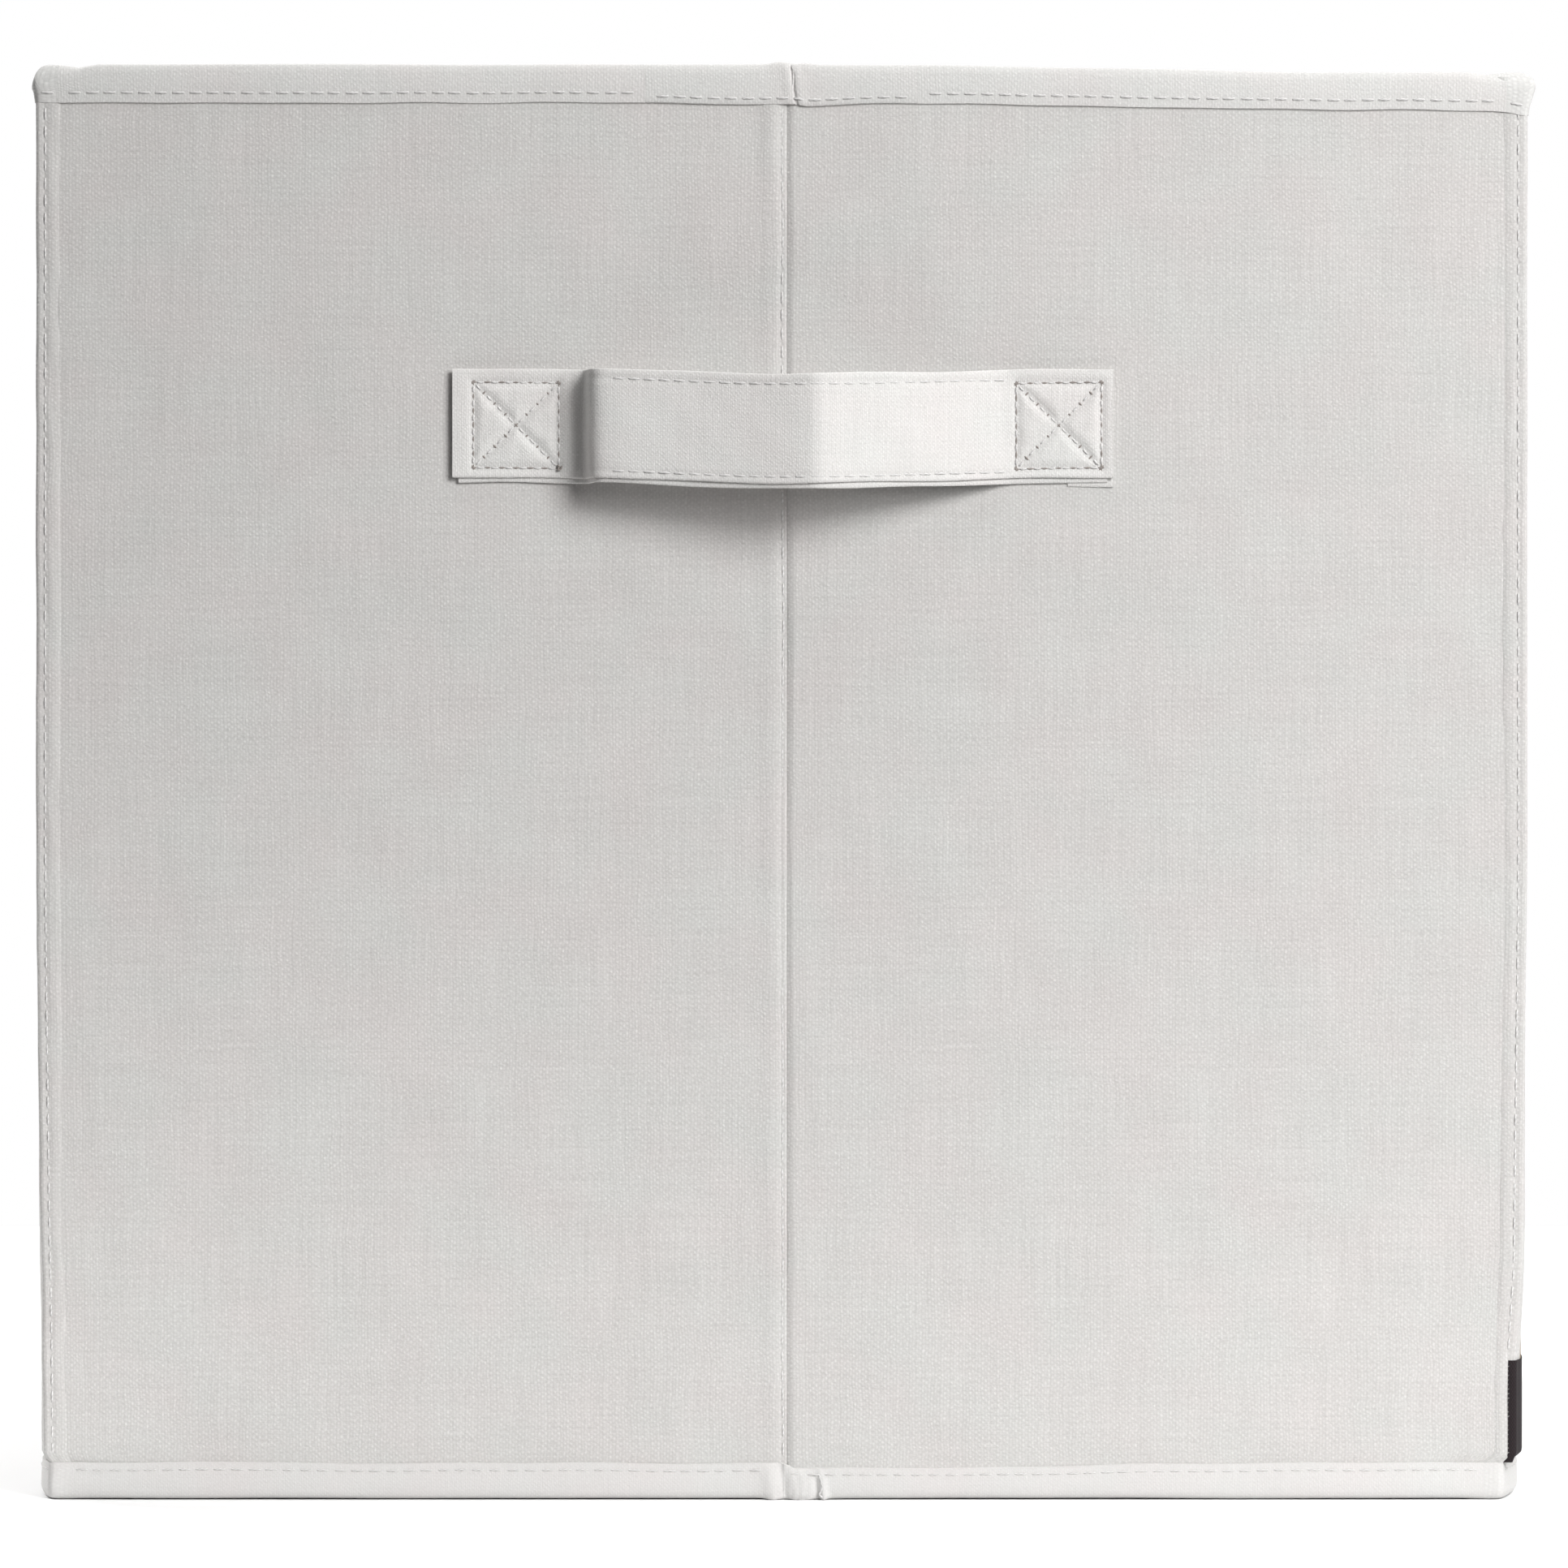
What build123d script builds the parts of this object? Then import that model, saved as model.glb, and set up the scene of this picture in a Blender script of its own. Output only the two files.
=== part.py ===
"""A collapsible fabric storage bin, standing open, as separate pieces.

Six stiffened wall panels stand round a cloth bottom: two whole side walls, and a
front and a back that are each two half walls meeting at a sewn centre seam. The
halves fold inwards at their seams, so the two side walls come together. A loose
base insert lies on the cloth bottom, and a cloth handle crosses the front seam.

Millimetres, +Z up. The origin is the middle of the bin on the floor, the front
faces -Y, and the side label is on the +X side.
"""

import os

from build123d import *

# Outside of the walls
width = 328.0
depth = 332.0
height = 316.0

# Layers of a wall, from the outside in
fabric_t = 0.8
board_t = 2.2
lining_t = 0.6
wall_t = fabric_t + board_t + lining_t

# Binding tape round the rim and round the bottom edge
tape_t = 0.8
rim_tape_h = 8.6
foot_tape_h = 8.2
tape_round = 1.5

# Folds: the corner axes stand this far inside the walls, and the walls stop short of them
hinge_offset = 1.0
hinge_gap = 0.4
seam_half_gap = 2.4

# Heights of what is inside the tapes
skirt_z = 5.4
board_low_z = 10.5
board_high_z = height - 3.4
rim_inner_z = height - tape_t
board_side_inset = 3.0
board_corner_r = 14.0

# Sewn corner edges on the side walls, and the strip in each centre seam
corner_depth = 2.4
corner_w = wall_t + hinge_offset - 0.2
corner_round = 1.4
seam_low_z = foot_tape_h + 0.1
seam_high_z = height - rim_tape_h - 0.1
seam_strip_t = 1.2

# Cloth bottom, and the loose insert on it
bottom_t = 0.8
bottom_gap = 0.3
insert_gap = 1.4
insert_low_z = bottom_t + 0.3
insert_cover_t = 0.4
insert_board_t = 2.0
insert_corner_r = 3.0
pull_tab_w = 22.0
pull_tab_l = 46.0
pull_tab_t = 0.6
pull_tab_from_edge = 6.0

# Cloth handle, measured from the centre seam
handle_w = 25.0
handle_t = 1.6
handle_top_z = height - 67.0
handle_end_x = 72.0
handle_lift_left_x = -47.0
handle_riser_x = -40.5
handle_riser_out = 7.0
handle_crease_x = 7.6
handle_crease_out = 18.0
handle_lift_right_x = 50.0
handle_bend_r = 2.6
handle_crease_r = 6.0
handle_split_gap = 0.4

# Blank label sewn round the front right corner
label_low_z = 8.6
label_h = 22.5
label_t = 0.5
label_front_w = 3.0
label_side_w = 20.0

half_w = width / 2
half_d = depth / 2
inner_tape = wall_t + tape_t


class Wall:
    """One wall's own directions: s runs along it, n goes in from its outer face."""

    def __init__(self, name, start, along, length):
        self.name = name
        self.start = Vector(*start)
        self.along = Vector(*along)
        self.inward = Vector(0, 0, 1).cross(self.along)
        self.length = length

    def face_plane(self, n):
        """A plane parallel to the wall, n inside its outer face, looking outwards."""
        origin = self.start + self.inward * n
        return Plane(origin=origin, x_dir=self.along, z_dir=self.inward * -1)

    def section_plane(self, s):
        """The wall's cross-section plane at s: X goes into the bin and Y goes up."""
        origin = self.start + self.along * s
        return Plane(origin=origin, x_dir=self.inward, z_dir=self.along)

    def plan_plane(self, z):
        """A level plane at z: X runs along the wall and Y goes into the bin."""
        origin = self.start + Vector(0, 0, z)
        return Plane(origin=origin, x_dir=self.along, z_dir=(0, 0, 1))


def save(piece, name):
    piece.part.label = name
    export_step(piece.part, f"parts/{name}.step")


def sheet(wall, s_range, z_range, n_range, corner_r=0.0):
    """A flat layer of a wall."""
    s0, s1 = s_range
    z0, z1 = z_range
    n0, n1 = n_range
    with BuildPart() as layer:
        with BuildSketch(wall.face_plane(n1)):
            with Locations(((s0 + s1) / 2, (z0 + z1) / 2)):
                if corner_r:
                    RectangleRounded(s1 - s0, z1 - z0, corner_r)
                else:
                    Rectangle(s1 - s0, z1 - z0)
        extrude(amount=n1 - n0)
    return layer


def tape_channel(wall, s_range, z_range, web_at_top, closed_ends):
    """Binding tape folded over an edge of the wall: a U-shaped channel."""
    s0, s1 = s_range
    z0, z1 = z_range
    end = tape_t if closed_ends else 0.0
    pocket_mid_z = (z0 + z1) / 2 + (-tape_t / 2 if web_at_top else tape_t / 2)
    with BuildPart() as channel:
        with BuildSketch(wall.section_plane(s0)) as outline:
            with Locations((wall_t / 2, (z0 + z1) / 2)):
                Rectangle(wall_t + 2 * tape_t, z1 - z0)
            folded_edge = outline.vertices().group_by(Axis.Y)[-1 if web_at_top else 0]
            fillet(folded_edge, radius=tape_round)
        extrude(amount=s1 - s0)
        with BuildSketch(wall.section_plane(s0 + end)):
            with Locations((wall_t / 2, pocket_mid_z)):
                Rectangle(wall_t, z1 - z0 - tape_t)
        extrude(amount=s1 - s0 - 2 * end, mode=Mode.SUBTRACT)
    return channel


def layered_wall(wall, skin_range, board_range, tape_range, closed_tape):
    """The five pieces that every wall has: fabric, board, lining and two tapes."""
    skin_z = (skirt_z, rim_inner_z)
    board_z = (board_low_z, board_high_z)
    fabric_n = (0.0, fabric_t)
    board_n = (fabric_t, fabric_t + board_t)
    lining_n = (fabric_t + board_t, wall_t)
    save(sheet(wall, skin_range, skin_z, fabric_n), f"{wall.name}_fabric")
    save(sheet(wall, board_range, board_z, board_n, board_corner_r), f"{wall.name}_board")
    save(sheet(wall, skin_range, skin_z, lining_n), f"{wall.name}_lining")
    rim = tape_channel(wall, tape_range, (height - rim_tape_h, height), True, closed_tape)
    save(rim, f"{wall.name}_rim_tape")
    foot = tape_channel(wall, tape_range, (0.0, foot_tape_h), False, closed_tape)
    save(foot, f"{wall.name}_foot_tape")


def side_wall(name, start, along):
    """A whole side wall with a sewn corner edge at each end."""
    wall = Wall(name, start, along, depth)
    skin = (corner_depth, depth - corner_depth)
    board = (corner_depth + board_side_inset, depth - corner_depth - board_side_inset)
    layered_wall(wall, skin, board, (-tape_t, depth + tape_t), True)
    return wall


def corner_edge(wall, at_start, name):
    """The turned and topstitched fabric edge that stands at a corner of the bin."""
    corner_s = 0.0 if at_start else wall.length
    middle_s = corner_depth / 2 if at_start else wall.length - corner_depth / 2
    with BuildPart() as edge:
        with BuildSketch(wall.plan_plane(seam_low_z)) as outline:
            with Locations((middle_s, corner_w / 2)):
                Rectangle(corner_depth, corner_w)
            outside_corner = outline.vertices().sort_by_distance((corner_s, 0, 0))[0]
            fillet(outside_corner, radius=corner_round)
        extrude(amount=seam_high_z - seam_low_z)
    save(edge, name)


def half_wall(name, start, along, centre_first):
    """One half of the front or back, from a corner hinge line to the centre seam."""
    length = half_w
    corner_end = wall_t + hinge_offset + hinge_gap
    wall = Wall(name, start, along, length)
    near, far = corner_end, length - seam_half_gap
    tape_near, tape_far = corner_end, length - hinge_gap
    if centre_first:
        near, far = length - far, length - near
        tape_near, tape_far = length - tape_far, length - tape_near
    skin = (near, far)
    board = (near + board_side_inset, far - board_side_inset)
    layered_wall(wall, skin, board, (tape_near, tape_far), False)
    return wall


def centre_seam(side, name):
    """The strip of joined cloth in a centre seam. side is -1 at the front, 1 at the back."""
    middle_y = side * (half_d - wall_t / 2)
    with BuildPart() as strip:
        with BuildSketch(Plane.XY.offset(seam_low_z)):
            with Locations((-hinge_gap / 2, middle_y)):
                Rectangle(2 * seam_half_gap - hinge_gap, seam_strip_t)
        extrude(amount=seam_high_z - seam_low_z)
    save(strip, name)


def handle_half(points, radii, name):
    """Half of the cloth handle, as a bent strip standing on edge."""
    with BuildPart() as strap:
        with BuildSketch(Plane.XY.offset(handle_top_z - handle_w)):
            with BuildLine():
                back = FilletPolyline(*points, radius=radii)
                offset(back, amount=handle_t, side=Side.RIGHT, closed=True, mode=Mode.REPLACE)
            make_face()
        extrude(amount=handle_w)
    save(strap, name)


def handle():
    """The handle: sewn flat at both ends, and bowed out between them to a crease."""

    def at(x, out):
        return (x, -half_d - out)

    slope = (handle_crease_out - handle_riser_out) / (handle_crease_x - handle_riser_x)
    out_at_split = handle_crease_out - slope * handle_crease_x
    left = [
        at(-handle_end_x, 0),
        at(handle_lift_left_x, 0),
        at(handle_riser_x, handle_riser_out),
        at(-handle_split_gap, out_at_split - slope * handle_split_gap),
    ]
    right = [
        at(handle_split_gap, out_at_split + slope * handle_split_gap),
        at(handle_crease_x, handle_crease_out),
        at(handle_lift_right_x, 0),
        at(handle_end_x, 0),
    ]
    handle_half(left, [handle_bend_r, handle_bend_r], "handle_left_half")
    handle_half(right, [handle_crease_r, handle_bend_r], "handle_right_half")


def bottom_cloth():
    """The cloth panel that closes the bottom, sewn to the left foot tape."""
    with BuildPart() as cloth:
        with BuildSketch():
            with Locations((-bottom_gap / 2, 0)):
                Rectangle(
                    width - 2 * inner_tape - bottom_gap,
                    depth - 2 * (inner_tape + bottom_gap),
                )
        extrude(amount=bottom_t)
    save(cloth, "bottom_cloth")


def base_insert():
    """The loose stiff insert: a board in a cloth cover, with a flat pull tab."""
    cover_w = width - 2 * (inner_tape + insert_gap)
    cover_d = depth - 2 * (inner_tape + insert_gap)
    cover_h = insert_board_t + 2 * insert_cover_t
    with BuildPart() as board:
        with BuildSketch(Plane.XY.offset(insert_low_z + insert_cover_t)):
            RectangleRounded(
                cover_w - 2 * insert_cover_t,
                cover_d - 2 * insert_cover_t,
                insert_corner_r - insert_cover_t,
            )
        extrude(amount=insert_board_t)
    save(board, "insert_board")

    with BuildPart() as cover:
        with BuildSketch(Plane.XY.offset(insert_low_z)):
            RectangleRounded(cover_w, cover_d, insert_corner_r)
        extrude(amount=cover_h)
        add(board.part, mode=Mode.SUBTRACT)
    save(cover, "insert_cover")

    tab_y = -cover_d / 2 + pull_tab_from_edge + pull_tab_l / 2
    with BuildPart() as tab:
        with BuildSketch(Plane.XY.offset(insert_low_z + cover_h)):
            with Locations((0, tab_y)):
                SlotOverall(pull_tab_l, pull_tab_w, rotation=90)
        extrude(amount=pull_tab_t)
    save(tab, "insert_pull_tab")


def side_label():
    """A blank woven label folded round the front right corner."""
    with BuildPart() as label:
        with BuildSketch(Plane.XY.offset(label_low_z)) as outline:
            with BuildLine():
                Polyline(
                    (half_w - label_front_w, -half_d),
                    (half_w - label_front_w, -half_d - label_t),
                    (half_w + label_t, -half_d - label_t),
                    (half_w + label_t, -half_d + label_side_w),
                    (half_w, -half_d + label_side_w),
                    (half_w, -half_d),
                    close=True,
                )
            make_face()
            outer_corner = outline.vertices().sort_by_distance((half_w * 2, -half_d * 2, label_low_z))[0]
            fillet(outer_corner, radius=label_t)
        extrude(amount=label_h)
    save(label, "side_label")


os.makedirs("parts", exist_ok=True)

left = side_wall("left_side", (-half_w, half_d, 0), (0, -1, 0))
corner_edge(left, False, "front_left_corner_edge")
corner_edge(left, True, "back_left_corner_edge")

right = side_wall("right_side", (half_w, -half_d, 0), (0, 1, 0))
corner_edge(right, True, "front_right_corner_edge")
corner_edge(right, False, "back_right_corner_edge")

half_wall("front_left", (-half_w, -half_d, 0), (1, 0, 0), False)
half_wall("front_right", (0, -half_d, 0), (1, 0, 0), True)
half_wall("back_right", (half_w, half_d, 0), (-1, 0, 0), False)
half_wall("back_left", (0, half_d, 0), (-1, 0, 0), True)
centre_seam(-1, "front_centre_seam")
centre_seam(1, "back_centre_seam")

handle()
bottom_cloth()
base_insert()
side_label()
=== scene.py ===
"""The look of a collapsible fabric storage bin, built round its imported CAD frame.

Everything is in metres in the CAD frame: +Z up, the front faces -Y. Every cloth part
is made again here as stitched cloth in mesh code. The chipboards keep their CAD shapes.
Each wall has its own directions: s runs along it from left to right as seen from
outside, n goes in from its outer face, and z goes up.
"""

import math

import bpy
import numpy as np
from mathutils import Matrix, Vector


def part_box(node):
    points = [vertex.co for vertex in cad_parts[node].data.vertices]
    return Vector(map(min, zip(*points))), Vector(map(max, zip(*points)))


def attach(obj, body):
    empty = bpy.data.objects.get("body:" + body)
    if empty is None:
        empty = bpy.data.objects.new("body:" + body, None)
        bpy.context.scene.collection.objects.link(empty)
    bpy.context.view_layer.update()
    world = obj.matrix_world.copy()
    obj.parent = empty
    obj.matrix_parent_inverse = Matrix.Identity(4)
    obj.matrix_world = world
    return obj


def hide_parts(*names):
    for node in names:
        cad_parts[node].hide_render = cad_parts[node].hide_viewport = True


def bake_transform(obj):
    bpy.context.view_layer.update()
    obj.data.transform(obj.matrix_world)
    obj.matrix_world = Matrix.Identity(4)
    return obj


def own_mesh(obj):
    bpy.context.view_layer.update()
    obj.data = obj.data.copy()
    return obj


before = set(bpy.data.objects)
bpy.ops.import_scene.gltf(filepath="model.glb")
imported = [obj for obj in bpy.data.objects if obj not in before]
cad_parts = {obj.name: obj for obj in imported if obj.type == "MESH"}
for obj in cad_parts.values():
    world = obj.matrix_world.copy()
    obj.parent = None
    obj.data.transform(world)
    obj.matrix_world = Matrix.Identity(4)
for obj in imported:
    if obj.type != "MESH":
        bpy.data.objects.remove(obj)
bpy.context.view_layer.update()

MM = 0.001

# Places read from the CAD nodes
half_w = -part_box("left_side_fabric")[0].x
half_d = -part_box("front_left_fabric")[0].y
wall_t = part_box("left_side_lining")[1].x + half_w
tape_t = -half_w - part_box("left_side_rim_tape")[0].x
rim_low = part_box("left_side_rim_tape")[0].z
rim_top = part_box("left_side_rim_tape")[1].z
foot_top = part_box("left_side_foot_tape")[1].z
skin_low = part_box("front_left_fabric")[0].z
hinge_in = wall_t + 1.0 * MM
insert_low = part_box("insert_cover")[0]
insert_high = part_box("insert_cover")[1]
tab_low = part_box("insert_pull_tab")[0]
tab_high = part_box("insert_pull_tab")[1]
handle_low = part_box("handle_left_half")[0]
handle_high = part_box("handle_right_half")[1]
label_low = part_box("side_label")[0]
label_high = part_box("side_label")[1]

# Sewing
cloth_t = 0.7 * MM
stitch_pitch = 3.8 * MM
stitch_long = 3.0 * MM
thread_r = 0.25 * MM
foot_thread_r = 0.17 * MM
rim_stitch_up = 1.9 * MM
foot_stitch_down = 2.6 * MM
tape_wrap = 4.7 * MM
centre_piece = 30.0 * MM
fold_zone = 5.0 * MM


# ---------------------------------------------------------------- walls


class Wall:
    """One side of the bin: points are given as s along it, n into it and z up."""

    def __init__(self, origin, along, inward, length):
        self.origin = np.array(origin)
        self.along = np.array(along, float)
        self.inward = np.array(inward, float)
        self.length = length
        self.middle = length / 2

    def at(self, s, n, z):
        s, n, z = np.broadcast_arrays(s, n, z)
        plan = self.origin + s[..., None] * self.along + n[..., None] * self.inward
        return np.concatenate([plan, z[..., None]], axis=-1)

    def direction(self, s=0.0, n=0.0, z=0.0):
        return np.append(s * self.along + n * self.inward, z)


FRONT = Wall((-half_w, -half_d), (1, 0), (0, 1), 2 * half_w)
RIGHT = Wall((half_w, -half_d), (0, 1), (-1, 0), 2 * half_d)
BACK = Wall((half_w, half_d), (-1, 0), (0, -1), 2 * half_w)
LEFT = Wall((-half_w, half_d), (0, -1), (1, 0), 2 * half_d)


# ---------------------------------------------------------------- shapes of the cloth


def waves(a, b, seed, size, count=7):
    """A smooth, repeatable unevenness between about -1 and 1; size is its usual wavelength."""
    rng = np.random.default_rng(seed)
    total = np.zeros(np.broadcast(a, b).shape)
    for _ in range(count):
        angle, phase = rng.uniform(0, 2 * math.pi, 2)
        wavelength = size * rng.uniform(0.6, 1.9)
        way = a * math.cos(angle) + b * math.sin(angle)
        total += np.sin(way * 2 * math.pi / wavelength + phase)
    return total / math.sqrt(count)


def bump(x, centre, width):
    return np.exp(-(((x - centre) / width) ** 2))


def ease(x, start, end):
    """0 before start, 1 after end, and smooth between them."""
    t = np.clip((x - start) / (end - start), 0, 1)
    return t * t * (3 - 2 * t)


def smooth_path(points, count):
    """count points along a Catmull-Rom spline through the given points."""
    p = np.array(points, float)
    p = np.vstack([2 * p[0] - p[1], p, 2 * p[-1] - p[-2]])
    fine = []
    for k in range(1, len(p) - 2):
        t = np.linspace(0, 1, 24, endpoint=False)[:, None]
        a, b, c, d = p[k - 1], p[k], p[k + 1], p[k + 2]
        fine.append(
            0.5 * (2 * b + (c - a) * t + (2 * a - 5 * b + 4 * c - d) * t**2
                   + (3 * b - a - 3 * c + d) * t**3)
        )
    fine = np.vstack([*fine, p[-2]])
    far = np.concatenate([[0], np.cumsum(np.linalg.norm(np.diff(fine, axis=0), axis=1))])
    at = np.linspace(0, far[-1], count)
    return np.stack([np.interp(at, far, fine[:, k]) for k in range(fine.shape[1])], axis=1)


def spaced(start, end, step):
    return np.linspace(start, end, max(2, round(abs(end - start) / step) + 1))


def rim_drop(x, y):
    """How far the rim hangs below its full height: the front right part leans down a little."""
    to_right = ease(x, 8 * MM, 130 * MM)
    to_front = ease(-y, -half_d, half_d)
    return 1.7 * MM * to_right * to_front


def tuck(points):
    """Pulls the bottom corners of the bin in, most at the front right corner."""
    p = points.copy()
    amounts = {(1, -1): 3.0 * MM, (-1, -1): 1.5 * MM, (1, 1): 1.4 * MM, (-1, 1): 1.6 * MM}
    for (side_x, side_y), amount in amounts.items():
        lean = 1.0 * MM * (1 - ease(p[..., 2], 40 * MM, 150 * MM))
        extra, reach = 0.0, 11 * MM
        low = 1 - ease(p[..., 2], 7.6 * MM, 10.4 * MM)
        if side_x > 0 > side_y:
            extra = 1.5 * MM * (1 - ease(p[..., 2], 26 * MM, 56 * MM))
            reach = 17 * MM
        if side_x < 0 and side_y < 0:
            extra = 0.6 * MM * (1 - ease(p[..., 2], 20 * MM, 70 * MM))
        off_x = np.maximum(half_w - side_x * points[..., 0], 0)
        off_y = np.maximum(half_d - side_y * points[..., 1], 0)
        near = np.exp(-((np.hypot(off_x, off_y) / reach) ** 2))
        edge = np.exp(-((off_x / (11 * MM)) ** 2) - (off_y / (3 * MM)) ** 2)
        side = np.exp(-((off_x / (11 * MM)) ** 2) - (off_y / (9 * MM)) ** 2)
        p[..., 0] -= side_x * (amount * low * near + lean * edge + extra * side)
        p[..., 1] -= side_y * (0.45 if reach < 12 * MM else 0.2) * amount * low * near
    return p


def corner_round(points, low, high):
    """The rim's corners: the top edge falls away in a curve, and the front right one bulges out."""
    p = points.copy()
    up = ease(p[..., 2], low, high)
    for side_x in (1, -1):
        for side_y in (1, -1):
            off_x = np.maximum(half_w + tape_t - side_x * points[..., 0], 0)
            off_y = np.maximum(half_d + tape_t - side_y * points[..., 1], 0)
            round_x = 1 - np.sqrt(1 - np.clip(1 - off_x / (4.2 * MM), 0, 1) ** 2)
            round_y = 1 - np.sqrt(1 - np.clip(1 - off_y / (4.2 * MM), 0, 1) ** 2)
            fall = np.maximum(round_x * bump(off_y, 0, 9 * MM), round_y * bump(off_x, 0, 9 * MM))
            p[..., 2] -= 4.6 * MM * fall * up
            front_right = side_x > 0 > side_y
            swell = (1.7 if front_right else 0.35) * MM * bump(points[..., 2], low + 5.0 * MM, 4 * MM)
            p[..., 0] += side_x * swell * bump(off_y, 0, 5 * MM) * bump(off_x, 0, 4 * MM)
            if front_right:
                droop = 1.3 * MM * bump(off_x, 0, 5 * MM) * bump(off_y, 0, 5 * MM)
                p[..., 2] -= droop * (1 - ease(points[..., 2], low - 2 * MM, low + 4 * MM))
    return p


# ---------------------------------------------------------------- mesh building


class Piece:
    """Collects closed cloth bands and threads into one mesh, with UVs in metres of cloth."""

    def __init__(self, name):
        self.name = name
        self.points, self.faces, self.uvs, self.slots = [], [], [], []
        self.count = 0

    def add(self, points, faces, uvs, slot):
        self.points.append(points)
        self.faces += [tuple(int(k) + self.count for k in f) for f in faces]
        self.uvs.append(uvs)
        self.slots += [slot] * len(faces)
        self.count += len(points)

    def band(self, outer, inner, slot=0, turned=False):
        """A closed layer of cloth between two grids of points of the same size."""
        rows, columns = outer.shape[:2]
        along = np.linalg.norm(np.diff(outer, axis=0), axis=2).mean(axis=1)
        across = np.linalg.norm(np.diff(outer, axis=1), axis=2).mean(axis=0)
        u = np.concatenate([[0], np.cumsum(across)])
        v = np.concatenate([[0], np.cumsum(along)])
        uv = np.stack(np.meshgrid(u, v), axis=-1)
        if turned:
            uv = uv[..., ::-1]
        uv = uv.reshape(-1, 2)
        index = np.arange(rows * columns).reshape(rows, columns)
        other = index + rows * columns
        faces = []

        def quads(a, b, c, d):
            faces.extend(zip(a.ravel(), b.ravel(), c.ravel(), d.ravel()))

        quads(index[:-1, :-1], index[:-1, 1:], index[1:, 1:], index[1:, :-1])
        quads(other[:-1, :-1], other[1:, :-1], other[1:, 1:], other[:-1, 1:])
        quads(index[:-1, 0], index[1:, 0], other[1:, 0], other[:-1, 0])
        quads(index[:-1, -1], other[:-1, -1], other[1:, -1], index[1:, -1])
        quads(index[0, :-1], other[0, :-1], other[0, 1:], index[0, 1:])
        quads(index[-1, :-1], index[-1, 1:], other[-1, 1:], other[-1, :-1])
        points = np.vstack([outer.reshape(-1, 3), inner.reshape(-1, 3)])
        edge = np.array([cloth_t, cloth_t])
        self.add(points, faces, np.vstack([uv, uv + edge]), slot)

    def thread(self, path, radius, slot=1, sides=6):
        """A closed tube of thread along a path, pointed at both ends."""
        path = np.array(path, float)
        tangent = np.gradient(path, axis=0)
        tangent /= np.linalg.norm(tangent, axis=1)[:, None]
        guide = np.array([0.31, 0.52, 0.79])
        side = np.cross(tangent, guide)
        side /= np.linalg.norm(side, axis=1)[:, None]
        up = np.cross(side, tangent)
        turn = np.linspace(0, 2 * math.pi, sides, endpoint=False)
        ring = side[:, None] * np.cos(turn)[None, :, None] + up[:, None] * np.sin(turn)[None, :, None]
        width = np.full(len(path), radius)
        width[0] = width[-1] = radius * 0.35
        points = path[:, None] + ring * width[:, None, None]
        index = np.arange(len(path) * sides).reshape(len(path), sides)
        around = np.roll(index, -1, axis=1)
        faces = list(zip(index[:-1].ravel(), around[:-1].ravel(), around[1:].ravel(), index[1:].ravel()))
        faces += [tuple(index[0, ::-1]), tuple(index[-1])]
        far = np.concatenate([[0], np.cumsum(np.linalg.norm(np.diff(path, axis=0), axis=1))])
        uv = np.stack(np.meshgrid(turn * radius, far), axis=-1).reshape(-1, 2)
        self.add(points.reshape(-1, 3), faces, uv, slot)

    def stitch(self, start, end, out, radius=thread_r, sink=0.5, slot=1):
        """One stitch from start to end, whose ends dive into the cloth; out points away from it."""
        start, end, out = (np.array(p, float) for p in (start, end, out))
        t = np.array([0.0, 0.14, 0.38, 0.62, 0.86, 1.0])
        rise = np.array([-1.6 * sink, 0.1, 0.55, 0.55, 0.1, -1.6 * sink])
        path = start + (end - start) * t[:, None] + out * (rise * radius)[:, None]
        self.thread(path, radius, slot)

    def stitch_row(self, place, start, end, out, seed=0, pitch=stitch_pitch, radius=thread_r):
        """A row of stitches; place(distance) gives the point on the cloth at that distance."""
        rng = np.random.default_rng(seed)
        count = max(1, round((end - start) / pitch))
        step = (end - start) / count
        for k in range(count):
            middle = start + (k + 0.5) * step + rng.uniform(-0.12, 0.12) * MM
            half = stitch_long / stitch_pitch * step / 2
            self.stitch(place(middle - half), place(middle + half), out, radius)

    def build(self, *materials, sharp=40.0):
        mesh = bpy.data.meshes.new(self.name)
        points = np.vstack(self.points)
        uvs = np.vstack(self.uvs)
        mesh.from_pydata(points.tolist(), [], self.faces)
        layer = mesh.uv_layers.new(name="cloth")
        loops = np.zeros(len(mesh.loops), np.int32)
        mesh.loops.foreach_get("vertex_index", loops)
        layer.data.foreach_set("uv", uvs[loops].astype(np.float32).ravel())
        mesh.polygons.foreach_set("material_index", np.array(self.slots, np.int32))
        mesh.validate()
        piece = bpy.data.objects.new(self.name, mesh)
        bpy.context.scene.collection.objects.link(piece)
        for material in materials:
            mesh.materials.append(material)
        outward(mesh)
        mesh.shade_smooth()
        mesh.set_sharp_from_angle(angle=math.radians(sharp))
        return piece


def outward(mesh):
    """Turns every face of the mesh's closed shells outwards."""
    import bmesh
    work = bmesh.new()
    work.from_mesh(mesh)
    bmesh.ops.recalc_face_normals(work, faces=work.faces)
    work.to_mesh(mesh)
    work.free()


# ---------------------------------------------------------------- materials


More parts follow.
